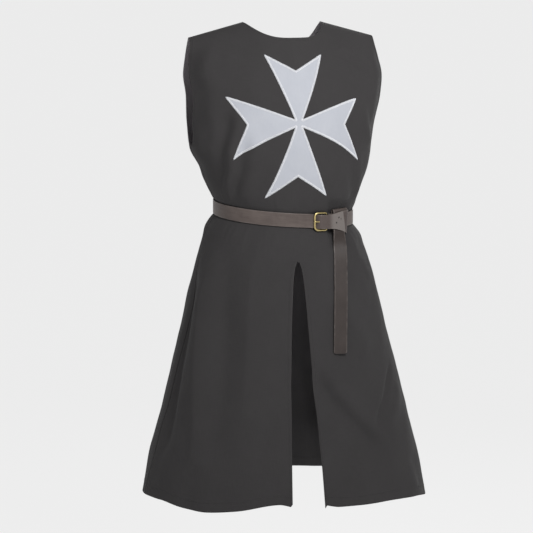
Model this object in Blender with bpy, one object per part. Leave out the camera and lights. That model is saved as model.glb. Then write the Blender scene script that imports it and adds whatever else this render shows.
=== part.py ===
# Belted cloth tunic with no wearer: front and back panels, a sewn-on cross, a leather belt and its buckle.
# Metres, +Z up, the front faces -Y, the origin is midway between the two neck points of the shoulder seams.
import math

import bpy
import numpy as np
from mathutils import Vector
from mathutils.bvhtree import BVHTree

# cloth; heights below count from a level that ends up 6 mm above the origin
cloth_wall = 0.0018
seam_gap = 0.0003
neck_half = 0.090
neck_height = -0.0062
neck_drop_front = 0.0335
neck_drop_back = 0.050
neck_left_power = 2.6
neck_right_power = 4.2
neck_back_power = 9.0
shoulder_end = -0.0389
shoulder_slope = 0.265
shoulder_roll = 0.20
roll_front = 0.5
roll_back = 0.8
armhole_bottom = -0.280
armhole_turn = 0.45
slit_top = -0.5257
hem_level = -1.070

# belt, measured out from the cloth's outer face
belt_level = -0.4285
belt_width = 0.031
belt_thick = 0.0030
belt_gap = 0.0003
belt_front_sag = 0.0100
belt_side_tilt = 0.0107

# buckle
frame_left = 0.0368
frame_right = 0.0700
frame_height = 0.0442
frame_bar = 0.0050
frame_corner = 0.0080
pivot_bar = 0.0034
prong_thick = 0.0024

# tail of the strap
tail_centre = 0.1020
tail_end = -0.7290
tail_lean = -0.0155
tail_clear = 0.0027

# cross: reaches from its middle to the tips, half the spread of each pair of tips, depth of the notches
cross_middle = -0.2237
cross_up = 0.1480
cross_down = 0.1655
cross_side = 0.1580
cross_tip_half = 0.0655
cross_notches = (0.74, 0.78, 0.74, 0.70)
cross_waist = 0.0107
cross_round_left = 2.5
cross_round_right = 4.0
cross_droop_left = 0.0100
cross_droop_right = 0.0165
cross_foot_lean = 0.0030
cross_thick = 0.0010
cross_gap = 0.0007

# form of the cloth, a row a section
# height, half width, front depth, back depth, squareness, shift to the wearer's left
form_rows = (
    (0.000, 0.2130, 0.080, 0.085, 2.60, -0.0015),
    (-0.045, 0.2135, 0.090, 0.095, 2.60, -0.0015),
    (-0.085, 0.2175, 0.104, 0.108, 2.40, 0.0015),
    (-0.120, 0.2210, 0.113, 0.116, 2.20, 0.0040),
    (-0.165, 0.2155, 0.122, 0.122, 2.10, 0.0060),
    (-0.220, 0.2105, 0.129, 0.125, 2.20, 0.0010),
    (-0.280, 0.2060, 0.133, 0.126, 2.40, -0.0030),
    (-0.332, 0.1880, 0.131, 0.124, 2.50, 0.0035),
    (-0.359, 0.1786, 0.128, 0.122, 2.45, 0.0020),
    (-0.386, 0.1680, 0.125, 0.119, 2.35, 0.0018),
    (-0.402, 0.1610, 0.122, 0.117, 2.25, 0.0030),
    (-0.4080, 0.1590, 0.120, 0.1158, 2.20, 0.0035),
    (-0.4118, 0.1555, 0.1165, 0.1120, 2.20, 0.0040),
    (-0.4452, 0.1555, 0.1165, 0.1120, 2.20, 0.0040),
    (-0.4490, 0.1600, 0.120, 0.1158, 2.20, 0.0036),
    (-0.457, 0.1660, 0.1237, 0.1192, 2.20, 0.0030),
    (-0.470, 0.1750, 0.128, 0.124, 2.15, 0.0032),
    (-0.496, 0.1838, 0.132, 0.129, 2.10, 0.0034),
    (-0.550, 0.2010, 0.139, 0.137, 2.05, 0.0030),
    (-0.660, 0.2264, 0.155, 0.153, 2.00, 0.0050),
    (-0.770, 0.2547, 0.169, 0.167, 2.00, 0.0077),
    (-0.880, 0.2830, 0.181, 0.180, 2.00, 0.0110),
    (-0.990, 0.3111, 0.192, 0.191, 2.00, 0.0110),
    (-1.090, 0.3350, 0.201, 0.199, 2.00, 0.0110),
)

# height of the hem round the tunic: angle from the front toward the wearer's left, height
hem_rows = (
    (-180.0, -1.054),
    (-150.0, -1.056),
    (-120.0, -1.053),
    (-90.0, -1.056),
    (-68.0, -1.056),
    (-50.0, -1.070),
    (-40.0, -1.074),
    (-25.0, -1.070),
    (-6.0, -1.0565),
    (0.0, -1.063),
    (7.0, -1.070),
    (30.0, -1.071),
    (55.0, -1.077),
    (78.0, -1.088),
    (95.0, -1.086),
    (125.0, -1.072),
    (150.0, -1.057),
    (180.0, -1.054),
)

# edges of the front slit: height, left edge, right edge
slit_rows = (
    (-0.5257, -0.0030, -0.0030),
    (-0.545, -0.0120, 0.0040),
    (-0.600, -0.0185, 0.0100),
    (-0.770, -0.0290, 0.0190),
    (-0.970, -0.0335, 0.0350),
    (-1.070, -0.0350, 0.0405),
)

# folds: top height, top angle, foot height, foot angle, half width, lift (minus sinks), crispness
fold_rows = (
    # skirt, front
    (-0.480, -79.0, -1.080, -62.0, 0.026, 0.0130, 1.2),
    (-0.460, -66.0, -1.150, -36.0, 0.038, 0.0070, 2.0),
    (-0.450, -47.0, -1.100, -26.0, 0.030, -0.0120, 2.0),
    (-0.480, -20.0, -1.000, -14.0, 0.040, 0.0060, 2.0),
    (-0.880, -58.0, -1.250, -44.0, 0.026, -0.0090, 2.0),
    (-0.560, 24.0, -0.800, 42.0, 0.024, 0.0060, 2.0),
    (-0.700, 2.0, -1.020, 40.0, 0.030, -0.0100, 2.0),
    (-0.760, 70.0, -0.960, 28.0, 0.026, -0.0080, 2.0),
    (-0.480, 70.0, -1.250, 74.0, 0.034, 0.0030, 2.0),
    (-0.930, 46.0, -1.200, 62.0, 0.030, -0.0060, 2.0),
    # skirt, back
    (-0.450, 112.0, -1.200, 118.0, 0.034, -0.0090, 2.0),
    (-0.470, 136.0, -1.200, 140.0, 0.036, 0.0080, 2.0),
    (-0.450, 158.0, -1.200, 163.0, 0.032, -0.0100, 2.0),
    (-0.480, -172.0, -1.200, -168.0, 0.040, 0.0080, 2.0),
    (-0.450, -146.0, -1.200, -142.0, 0.032, -0.0100, 2.0),
    (-0.470, -120.0, -1.200, -114.0, 0.034, 0.0080, 2.0),
    # body, front
    (-0.190, -34.0, -0.440, -76.0, 0.017, -0.0090, 2.0),
    (-0.250, -26.0, -0.440, -58.0, 0.015, -0.0060, 2.0),
    (-0.270, 33.0, -0.440, 62.0, 0.016, -0.0070, 2.0),
    (-0.150, 38.0, -0.330, 74.0, 0.018, 0.0050, 2.0),
    (-0.060, 24.0, -0.125, 56.0, 0.014, -0.0050, 2.0),
    (-0.050, -46.0, -0.170, -66.0, 0.018, 0.0050, 2.0),
    # body, back
    (-0.230, 142.0, -0.440, 108.0, 0.018, -0.0080, 2.0),
    (-0.230, -140.0, -0.440, -106.0, 0.018, -0.0080, 2.0),
    (-0.280, 166.0, -0.440, 148.0, 0.016, -0.0060, 2.0),
    (-0.280, -164.0, -0.440, -146.0, 0.016, -0.0060, 2.0),
    (-0.060, 152.0, -0.240, 130.0, 0.026, -0.0040, 2.0),
)

# cloth pressed in by the buckle and by the turned strap:
# place along the front, half span, height, half height, depth
tuck_rows = (
    (0.083, 0.053, -0.4285, 0.044, 0.0044),
    (0.102, 0.027, -0.4680, 0.027, 0.0075),
    (0.102, 0.027, -0.4020, 0.016, 0.0065),
)

# free run of the strap past the buckle: along the front, out from the cloth, lower edge, upper edge
free_rows = (
    (0.0300, 0.0018, -0.0155, 0.0155),
    (0.0400, 0.0018, -0.0155, 0.0155),
    (0.0445, 0.0025, -0.0155, 0.0155),
    (0.0490, 0.0045, -0.0155, 0.0155),
    (0.0590, 0.0107, -0.0155, 0.0155),
    (0.0640, 0.0108, -0.0155, 0.0155),
    (0.0700, 0.0104, -0.0155, 0.0155),
    (0.0770, 0.0099, -0.0158, 0.0156),
    (0.0850, 0.0096, -0.0172, 0.0159),
    (0.0960, 0.0095, -0.0200, 0.0164),
    (0.1080, 0.0093, -0.0242, 0.0172),
    (0.1170, 0.0089, -0.0272, 0.0176),
    (0.1210, 0.0080, -0.0285, 0.0172),
    (0.1232, 0.0065, -0.0280, 0.0164),
    (0.1225, 0.0051, -0.0262, 0.0150),
)
strap_start = 0.0736
hole_station = 3

row_levels = (
    -1.070, -1.045, -1.000, -0.955, -0.910, -0.865, -0.820, -0.775, -0.730, -0.690,
    -0.650, -0.610, -0.575, -0.545, -0.5257, -0.500, -0.478, -0.466, -0.457, -0.4490,
    -0.4452, -0.4118, -0.4080, -0.402, -0.390, -0.372, -0.345, -0.315, -0.280,
)
yoke_steps = (0.06, 0.16, 0.28, 0.42, 0.56, 0.68, 0.78, 0.86, 0.92, 0.96, 0.985, 0.996, 1.0)
neck_columns_front = 5
neck_columns_back = 6
side_columns = 11


def clear_scene():
    for thing in list(bpy.data.objects):
        bpy.data.objects.remove(thing, do_unlink=True)


class Curve:
    # smooth line through table rows that never swings past them
    def __init__(self, places, values):
        order = np.argsort(places)
        self.places = np.array(places, float)[order]
        self.values = np.array(values, float)[order]
        steps = np.diff(self.places)
        slopes = np.diff(self.values) / steps
        ends = np.zeros(len(self.places))
        for i in range(1, len(slopes)):
            if slopes[i - 1] * slopes[i] > 0:
                left = 2 * steps[i] + steps[i - 1]
                right = steps[i] + 2 * steps[i - 1]
                ends[i] = (left + right) / (left / slopes[i - 1] + right / slopes[i])
        ends[0] = slopes[0]
        ends[-1] = slopes[-1]
        self.ends = ends

    def at(self, place):
        place = min(max(place, self.places[0]), self.places[-1])
        i = int(min(max(np.searchsorted(self.places, place) - 1, 0), len(self.places) - 2))
        step = self.places[i + 1] - self.places[i]
        t = (place - self.places[i]) / step
        first = self.values[i] * (1 + 2 * t) * (1 - t) ** 2 + self.ends[i] * step * t * (1 - t) ** 2
        second = self.values[i + 1] * t * t * (3 - 2 * t) - self.ends[i + 1] * step * t * t * (1 - t)
        return float(first + second)


def soft_step(low, high, value):
    t = min(max((value - low) / (high - low), 0.0), 1.0)
    return t * t * (3 - 2 * t)


form_heights = [row[0] for row in form_rows]
half_width, front_depth, back_depth, squareness, shift = (
    Curve(form_heights, [row[k] for row in form_rows]) for k in range(1, 6))
hem_curve = Curve([row[0] for row in hem_rows], [row[1] for row in hem_rows])
slit_left = Curve([row[0] for row in slit_rows], [row[1] for row in slit_rows])
slit_right = Curve([row[0] for row in slit_rows], [row[2] for row in slit_rows])


def shoulder_line(x):
    return neck_height - (abs(x) - neck_half) * shoulder_slope


def neck_line(side, x):
    # the back's neckline is deeper and squarer, so it hides behind the front's
    if side > 0:
        return neck_height - neck_drop_back * (1 - (abs(x) / neck_half) ** neck_back_power)
    power = neck_left_power if x < 0 else neck_right_power
    return neck_height - neck_drop_front * (1 - (abs(x) / neck_half) ** power)


def belt_shift(angle):
    turn = math.radians(angle)
    return -belt_front_sag * math.cos(turn) - belt_side_tilt * math.sin(turn)


def fold_lift(angle, level, reach):
    # sum of the folds at one place; reach is the local radius that turns degrees into metres
    total = 0.0
    for top, top_angle, foot, foot_angle, width, lift, crisp in fold_rows:
        if not foot < level < top:
            continue
        t = (top - level) / (top - foot)
        line = top_angle + (foot_angle - top_angle) * t
        away = (angle - line + 180.0) % 360.0 - 180.0
        across = math.radians(away) * reach / width
        if abs(across) > 3.0:
            continue
        ends = soft_step(0.0, 0.22, t) * soft_step(0.0, 0.22, 1.0 - t)
        total += lift * ends * math.exp(-abs(across) ** crisp)
    return total * soft_step(0.0168, 0.034, abs(level - belt_level))


def wall_point(side, turn, level, height, bare=False, slit=0):
    # one point of the cloth's outer face
    power = squareness.at(level)
    open_share = 0.0
    if level > armhole_bottom:
        t = min((level - armhole_bottom) / (shoulder_end - armhole_bottom), 1.0)
        open_share = armhole_turn * math.sqrt(max(0.0, 2 * t - t * t))
    edge = (1 - open_share ** power) ** (1 / power)
    widest = half_width.at(level) / edge
    swing = math.asin(min(edge, 1.0))
    x = shift.at(level) + widest * math.sin(turn * swing)
    if slit:
        target = (slit_left if slit < 0 else slit_right).at(height)
        x += (target - shift.at(level)) * (1 - abs(turn)) ** 1.6
    share = min(abs(x - shift.at(level)) / widest, 1.0)
    curve = max(0.0, 1 - share ** power) ** (1 / power)
    below = max(0.0, shoulder_line(x) - height)
    roll = max(0.0, 1 - max(0.0, 1 - below / shoulder_roll) ** 2.2) ** (roll_front if side < 0 else roll_back)
    depth = (front_depth if side < 0 else back_depth).at(level if level < armhole_bottom else height)
    y = depth * curve * roll
    angle = math.degrees(turn * swing)
    if side > 0:
        angle = 180.0 - angle
    reach = (half_width.at(level) + depth) / 2
    push = 0.0 if bare else fold_lift(angle, level, reach)
    push *= soft_step(0.0, 0.03, below)
    if level > armhole_bottom and abs(turn) > 0.999:
        push *= 0.5
    nx = (x - shift.at(level)) / max(widest, 1e-6) ** 2
    ny = y / max(depth, 1e-6) ** 2
    size = math.hypot(nx, ny) or 1.0
    if not bare and side < 0:
        for place, half, centre, tall, deep in tuck_rows:
            beside = ((x - place) / half) ** 8 + ((level - centre) / tall) ** 4
            push -= deep * math.exp(-beside)
    seam = 1 - soft_step(0.93, 1.0, abs(turn)) if level <= armhole_bottom else 1.0
    x += push * nx / size
    y += push * ny / size * seam
    return Vector((x, side * (max(y, 0.0) + seam_gap / 2), height))


def drop_of(side, turn, level):
    # height of a point whose nominal level is given: belt tilt and uneven hem
    angle = turn * 90.0
    if side > 0:
        angle = 180.0 - angle
    wrapped = (angle + 180.0) % 360.0 - 180.0
    near_belt = 1 - soft_step(0.02, 0.15, abs(level - belt_level))
    near_hem = soft_step(0.0, 0.45, (-0.62 - level))
    return level + belt_shift(angle) * near_belt + (hem_curve.at(wrapped) - hem_level) * near_hem


def column_turns(neck_columns):
    # turns of the columns so that one of them meets each neck corner
    edge = (1 - armhole_turn ** squareness.at(shoulder_end)) ** (1 / squareness.at(shoulder_end))
    swing = math.asin(edge)
    widest = half_width.at(shoulder_end) / edge
    corner_right = math.asin((neck_half - shift.at(shoulder_end)) / widest) / swing
    corner_left = math.asin((neck_half + shift.at(shoulder_end)) / widest) / swing
    right = [corner_right * k / neck_columns for k in range(neck_columns)]
    right += [corner_right + (1 - corner_right) * k / side_columns for k in range(side_columns + 1)]
    left = [corner_left * k / neck_columns for k in range(neck_columns)]
    left += [corner_left + (1 - corner_left) * k / side_columns for k in range(side_columns + 1)]
    return [-t for t in reversed(left[1:])] + right


def panel_rows(side, turns, slit):
    # rows of outer points from the hem up; slit gives the middle column twice
    middle = turns.index(0.0)
    listed = []
    for j, turn in enumerate(turns):
        if slit and j == middle:
            listed += [(turn, -1), (turn, 1)]
        else:
            listed.append((turn, -1 if turn < 0 else 1))
    rows = []
    for level in row_levels:
        row = []
        for turn, half in listed:
            place = 0.07 * half if slit and turn == 0.0 else turn
            height = drop_of(side, place, level)
            cut = half if slit and level < slit_top + 1e-6 else 0
            row.append(wall_point(side, turn, level, height, slit=cut))
        rows.append(row)
    top_x = [wall_point(side, turn, shoulder_end, shoulder_end, bare=True).x for turn, half in listed]
    for step in yoke_steps:
        level = armhole_bottom + (shoulder_end - armhole_bottom) * step
        row = []
        for (turn, half), x in zip(listed, top_x):
            top = shoulder_line(x) if abs(x) >= neck_half - 1e-5 else neck_line(side, x)
            height = armhole_bottom + (top - armhole_bottom) * step
            row.append(wall_point(side, turn, level, height))
        rows.append(row)
    return rows


def outer_wall(rows, is_joined, cut_column, flip):
    # outer points, faces and normals of a grid; is_joined(i, j) tells if columns j and j + 1
    # share one point, and no face crosses from the cut column to the next
    points = []
    number = []
    for i, row in enumerate(rows):
        line = []
        for j, point in enumerate(row):
            if j > 0 and is_joined(i, j - 1):
                line.append(line[-1])
            else:
                line.append(len(points))
                points.append(point)
        number.append(line)
    faces = []
    for i in range(len(rows) - 1):
        for j in range(len(rows[0]) - 1):
            if j == cut_column:
                continue
            a, b, c, d = number[i][j], number[i][j + 1], number[i + 1][j + 1], number[i + 1][j]
            short = (points[a] - points[c]).length <= (points[b] - points[d]).length
            pair = ((a, b, c), (a, c, d)) if short else ((a, b, d), (b, c, d))
            faces += [tuple(reversed(f)) if flip else f for f in pair]
    normals = [Vector((0, 0, 0)) for point in points]
    for a, b, c in faces:
        cross = (points[b] - points[a]).cross(points[c] - points[a])
        for k in (a, b, c):
            normals[k] += cross
    return points, number, faces, normals


def close_wall(points, faces, normals, thick):
    # adds the inner face and the edges that join it to the outer one
    count = len(points)
    inner = [p - n.normalized() * thick for p, n in zip(points, normals)]
    edges = set()
    for a, b, c in faces:
        edges |= {(a, b), (b, c), (c, a)}
    rim = []
    for a, b in edges:
        if (b, a) not in edges:
            rim += [(b, a, a + count), (b, a + count, b + count)]
    back = [(c + count, b + count, a + count) for a, b, c in faces]
    return points + inner, faces + back + sorted(rim)


def add_object(name, points, faces, colour, roughness, metallic=0.0):
    volume = 0.0
    for face in faces:
        a, b, c = (points[k] for k in face)
        volume += a.dot((b - a).cross(c - a))
    if volume < 0:
        faces = [tuple(reversed(f)) for f in faces]
    mesh = bpy.data.meshes.new(name)
    mesh.from_pydata([(p.x, p.y, p.z - neck_height) for p in points], [], [tuple(f) for f in faces])
    mesh.validate()
    mesh.update()
    thing = bpy.data.objects.new(name, mesh)
    bpy.context.collection.objects.link(thing)
    paint = bpy.data.materials.new(name)
    paint.use_nodes = True
    shader = paint.node_tree.nodes["Principled BSDF"]
    shader.inputs["Base Color"].default_value = (*colour, 1.0)
    shader.inputs["Roughness"].default_value = roughness
    shader.inputs["Metallic"].default_value = metallic
    mesh.materials.append(paint)
    return thing


def build_panel(name, side, neck_columns, slit):
    turns = column_turns(neck_columns)
    middle = turns.index(0.0)
    rows = panel_rows(side, turns, slit)
    open_rows = sum(1 for level in row_levels if level < slit_top - 1e-6)
    skip = middle if slit else None

    def is_joined(i, j):
        return slit and j == middle and i >= open_rows

    points, number, faces, normals = outer_wall(rows, is_joined, skip, side > 0)
    low_rows = len(row_levels)
    flat = [number[i][j] for i in range(low_rows) for j in (0, -1)]
    top = [n for n, point in zip(number[-1], rows[-1]) if abs(point.x) >= neck_half - 1e-4]
    for k in flat + top:
        normals[k].y = 0.0
    points, faces = close_wall(points, faces, normals, cloth_wall)
    return add_object(name, points, faces, (0.045, 0.043, 0.043), 0.85)


clear_scene()
front_panel = build_panel("front_panel", -1, neck_columns_front, True)
back_panel = build_panel("back_panel", 1, neck_columns_back, False)


def tree_of(thing):
    mesh = thing.data
    lowered = [v.co + Vector((0, 0, neck_height)) for v in mesh.vertices]
    return BVHTree.FromPolygons(lowered, [tuple(p.vertices) for p in mesh.polygons])


front_tree = tree_of(front_panel)


def on_front(x, z):
    # place and outward direction on the built front panel
    spot, normal, index, far = front_tree.ray_cast(Vector((x, -1.0, z)), Vector((0.0, 1.0, 0.0)))
    return spot, normal


def clear_of_front(points, faces, gap):
    # moves points out of the front until every face stays clear of the panel
    shares = [(0.0, 0.0), (0.5, 0.0), (0.0, 0.5), (0.5, 0.5)]
    shares += [(0.25, 0.25), (0.33, 0.33), (0.25, 0.5), (0.5, 0.25)]
    points = [p.copy() for p in points]
    for _ in range(5):
        push = [0.0] * len(points)
        for face in faces:
            a, b, c = (points[k] for k in face)
            for u, v in shares:
                spot = a * (1 - u - v) + b * u + c * v
                wall, normal = on_front(spot.x, spot.z)
                lack = spot.y + gap - wall.y
                if lack > 0:
                    for k in face:
                        push[k] = max(push[k], lack)
        points = [p - Vector((0.0, amount, 0.0)) for p, amount in zip(points, push)]
    return points


# cross
def cross_points():
    # four arms round a small square, each from the waist of the cross to its two tips
    steps = 10
    across = 6
    grid = {}
    for arm in range(4):
        quarter = math.pi / 2 * arm
        for i in range(steps + 1):
            for j in range(across + 1):
                w = 2 * j / across - 1
                far = cross_notches[arm] + (1 - cross_notches[arm]) * abs(w)
                near = cross_waist / cross_side
                r = near + (far - near) * i / steps
                half_at = cross_waist + (cross_tip_half - cross_waist) * (i / steps)
                p = r * cross_side
                q = w * half_at
                grid[arm, i, j] = (p * math.cos(quarter) - q * math.sin(quarter),
                                   p * math.sin(quarter) + q * math.cos(quarter))
    return grid, steps, across


def lay_cross(p, q):
    # flat place on the cross to a place on the chest: widths shorten round the side, the side arms droop
    up = cross_up if q > 0 else cross_down
    x = p * (1 - (cross_round_right if p > 0 else cross_round_left) * p * p)
    if q < 0:
        x -= cross_foot_lean * (q / cross_side) ** 2
    droop = cross_droop_right if p > 0 else cross_droop_left
    return x, cross_middle + q * up / cross_side - droop * (abs(p) / cross_side) ** 3


def build_cross():
    grid, steps, across = cross_points()
    points = []
    found = {}

    def index_of(flat):
        key = (round(flat[0], 6), round(flat[1], 6))
        if key not in found:
            found[key] = len(points)
            x, z = lay_cross(*flat)
            spot, normal = on_front(x, z)
            points.append(spot)
        return found[key]

    faces = []
    for arm in range(4):
        for i in range(steps):
            for j in range(across):
                a, b = index_of(grid[arm, i, j]), index_of(grid[arm, i + 1, j])
                c, d = index_of(grid[arm, i + 1, j + 1]), index_of(grid[arm, i, j + 1])
                faces += [(a, b, c), (a, c, d)]
    edge = [[index_of(grid[arm, 0, j]) for j in range(across + 1)] for arm in range(4)]
    middle = index_of((0.0, 0.0))
    for line in edge:
        for a, b in zip(line[:-1], line[1:]):
            faces.append((a, b, middle))
    normals = [Vector((0, 0, 0)) for point in points]
    for a, b, c in faces:
        cross = (points[b] - points[a]).cross(points[c] - points[a])
        for k in (a, b, c):
            normals[k] += cross
    if normals[middle].y > 0:
        faces = [tuple(reversed(f)) for f in faces]
        normals = [-n for n in normals]
    points = clear_of_front(points, faces, cross_gap)
    outer = [p + n.normalized() * cross_thick for p, n in zip(points, normals)]
    solid, faces = close_wall(outer, faces, normals, cross_thick)
    return add_object("cross_applique", solid, faces, (0.62, 0.64, 0.70), 0.7)


cross_applique = build_cross()


# belt
def belt_plan(turn, side):
    # point and outward direction on the cloth at the belt, without its folds
    here = wall_point(side, turn, belt_level, belt_level, bare=True)
    here.y -= side * seam_gap / 2
    here.z = 0.0
    step = 1e-3
    before = wall_point(side, max(turn - step, -1.0), belt_level, belt_level, bare=True)
    after = wall_point(side, min(turn + step, 1.0), belt_level, belt_level, bare=True)
    along = (after - before).normalized()
    if abs(turn) > 0.9995:
        out = Vector((math.copysign(1.0, turn), 0.0, 0.0))
    else:
        out = Vector((along.y, -along.x, 0.0)) if side < 0 else Vector((-along.y, along.x, 0.0))
    return here, out


def belt_ring():
    # (angle, point, out) all round, counted from the front toward the wearer's left
    ring = []
    for turn in column_turns(neck_columns_front):
        point, out = belt_plan(turn, -1)
        ring.append((turn * 90.0, point, out))
    for turn in reversed(column_turns(neck_columns_back)[1:-1]):
        point, out = belt_plan(turn, 1)
        ring.append((180.0 - turn * 90.0, point, out))
    return ring


def turn_at(x):
    # turn of the front column line that stands at this x
    low, high = 0.0, 1.0
    for _ in range(40):
        half = (low + high) / 2
        if wall_point(-1, half, belt_level, belt_level, bare=True).x < x:
            low = half
        else:
            high = half
    return (low + high) / 2


def on_belt(x, out, up):
    # place on the belt's front run: x along the front, out from the cloth, up from the belt's middle
    turn = turn_at(x)
    point, away = belt_plan(turn, -1)
    height = belt_level + belt_shift(turn * 90.0) + up
    return Vector((point.x, point.y, 0.0)) + away * out + Vector((0.0, 0.0, height))


def strip_solid(stations, thick, hole=None):
    # flat strap from stations, each a row of points across the middle of its thickness
    splits = len(stations[0]) - 1
    points = []
    for i, row in enumerate(stations):
        before = stations[max(i - 1, 0)]
        after = stations[min(i + 1, len(stations) - 1)]
        outs = []
        for k in range(splits + 1):
            along = after[k] - before[k]
            wide = row[min(k + 1, splits)] - row[max(k - 1, 0)]
            outs.append(along.cross(wide).normalized())
        for face in (0.5, -0.5):
            points += [point + out * thick * face for point, out in zip(row, outs)]
    wide = splits + 1

    def corner(i, face, k):
        return i * 2 * wide + face * wide + k

    faces = []
    for i in range(len(stations) - 1):
        for k in range(splits):
            if hole == (i, k):
                for face_k, order in ((k, 1), (k + 1, -1)):
                    quad = [corner(i, 0, face_k), corner(i + 1, 0, face_k),
                            corner(i + 1, 1, face_k), corner(i, 1, face_k)]
                    faces.append(tuple(quad[::order]))
                for station, order in ((i, -1), (i + 1, 1)):
                    quad = [corner(station, 0, k), corner(station, 0, k + 1),
                            corner(station, 1, k + 1), corner(station, 1, k)]
                    faces.append(tuple(quad[::order]))
                continue
            for side, order in ((0, 1), (1, -1)):
                quad = [corner(i, side, k), corner(i + 1, side, k),
                        corner(i + 1, side, k + 1), corner(i, side, k + 1)]
                faces.append(tuple(quad[::order]))
        for k, order in ((0, -1), (splits, 1)):
            quad = [corner(i, 0, k), corner(i + 1, 0, k), corner(i + 1, 1, k), corner(i, 1, k)]
            faces.append(tuple(quad[::order]))
    last = len(stations) - 1
    for k in range(splits):
        for end, order in ((0, 1), (last, -1)):
            quad = [corner(end, 0, k), corner(end, 0, k + 1), corner(end, 1, k + 1), corner(end, 1, k)]
            faces.append(tuple(quad[::order]))
    triangles = []
    for a, b, c, d in faces:
        triangles += [(a, b, c), (a, c, d)]
    return points, triangles


def build_strap():
    middle = belt_gap + belt_thick / 2
    half = belt_width / 2
    splits = 5
    start = turn_at(strap_start)
    end = turn_at(free_rows[0][0])
    span = (end - start) * 90.0 % 360.0
    point, out = belt_plan(start, -1)
    listed = [(start * 90.0, point, out)]
    ring = []
    for angle, point, out in belt_ring():
        gone = (angle - start * 90.0) % 360.0
        if 2.0 < gone < span - 2.0:
            ring.append((gone, angle, point, out))
    ring.sort(key=lambda entry: entry[0])
    listed += [entry[1:] for entry in ring]
    stations = []
    for angle, point, out in listed:
        base = Vector((point.x, point.y, belt_level + belt_shift(angle))) + out * middle
        stations.append([base + Vector((0, 0, half * (2 * k / splits - 1))) for k in range(splits + 1)])
    for x, away, low, high in free_rows:
        stations.append([on_belt(x, away, low + (high - low) * k / splits) for k in range(splits + 1)])
    hole = (len(listed) + hole_station, 2)
    points, faces = strip_solid(stations, belt_thick, hole)
    return add_object("belt_strap", points, faces, (0.075, 0.050, 0.040), 0.5)


def build_tail():
    # over the top edge of the belt, down under the free run of the strap, then down the skirt
    splits = 4
    half = belt_width / 2
    front_out = belt_gap * 2 + belt_thick * 1.5
    behind = -belt_gap - belt_thick / 2
    radius = (front_out - behind) / 2
    crest = half + 0.0010
    path = [(behind, -0.002), (behind, crest)]
    for k in range(1, 6):
        turn = math.pi * k / 6
        path.append((behind + radius * (1 - math.cos(turn)), crest + radius * math.sin(turn)))
    path += [(front_out, crest), (front_out, 0.0), (front_out, -half)]
    shares = [k / splits for k in range(splits + 1)]
    left = tail_centre - half
    stations = [[on_belt(left + belt_width * share, out, up) for share in shares] for out, up in path]
    last = stations[-1]
    top = last[0].z
    bow = [last[k].y - last[0].y - (last[-1].y - last[0].y) * share for k, share in enumerate(shares)]
    heights = [top - drop for drop in (0.012, 0.024, 0.045, 0.070)]
    low = heights[-1]
    heights += [low + (tail_end - low) * k / 7 for k in range(1, 8)]
    for height in heights:
        t = (top - height) / (top - tail_end)
        places = [left + tail_lean * t + belt_width * share for share in shares]
        wall = [on_front(x, height)[0].y for x in places]
        keep = 1 - 0.8 * soft_step(0.0, 0.3, t)
        flat = [wall[0] + (wall[-1] - wall[0]) * share + bow[k] * keep for k, share in enumerate(shares)]
        clear = max(line - near for line, near in zip(flat, wall)) + tail_clear
        stations.append([Vector((x, y - clear, height)) for x, y in zip(places, flat)])
    hung = len(path)
    for i in range(hung, len(stations) - 1):
        rows = stations[i] + stations[i + 1]
        faces = [(k, k + 1, splits + 1 + k) for k in range(splits)]
        faces += [(k + 1, splits + 2 + k, splits + 1 + k) for k in range(splits)]
        moved = clear_of_front(rows, faces, tail_clear)
        out = max(old.y - new.y for old, new in zip(rows, moved))
        for row in (stations[i], stations[i + 1]):
            for point in row:
                point.y -= out
    points, faces = strip_solid(stations, belt_thick)
    return add_object("belt_tail", points, faces, (0.075, 0.050, 0.040), 0.5)


belt_strap = build_strap()
belt_tail = build_tail()


# buckle
def tube_solid(path, sides, radius, closed):
    # round rod through rows of (middle, first direction, second direction)
    points = []
    for middle, first, second in path:
        for k in range(sides):
            turn = 2 * math.pi * (k + 0.5) / sides
            points.append(middle + first * math.cos(turn) * radius[0] + second * math.sin(turn) * radius[1])
    faces = []
    count = len(path)
    for i in range(count if closed else count - 1):
        n = (i + 1) % count
        for k in range(sides):
            m = (k + 1) % sides
            faces.append((i * sides + k, i * sides + m, n * sides + m))
            faces.append((i * sides + k, n * sides + m, n * sides + k))
    if not closed:
        for k in range(1, sides - 1):
            faces.append((0, k + 1, k))
            faces.append(((count - 1) * sides, (count - 1) * sides + k, (count - 1) * sides + k + 1))
    return points, faces


def frame_out(x):
    # how far out the frame's middle lies: high at the left bar, low at the pivot
    t = (x - frame_left) / (frame_right - frame_left)
    left_out = belt_gap * 2 + belt_thick + 0.0024
    pivot_out = belt_gap + pivot_bar / 2 + 0.0016
    return left_out + (pivot_out - left_out) * soft_step(0.0, 1.0, t)


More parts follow.
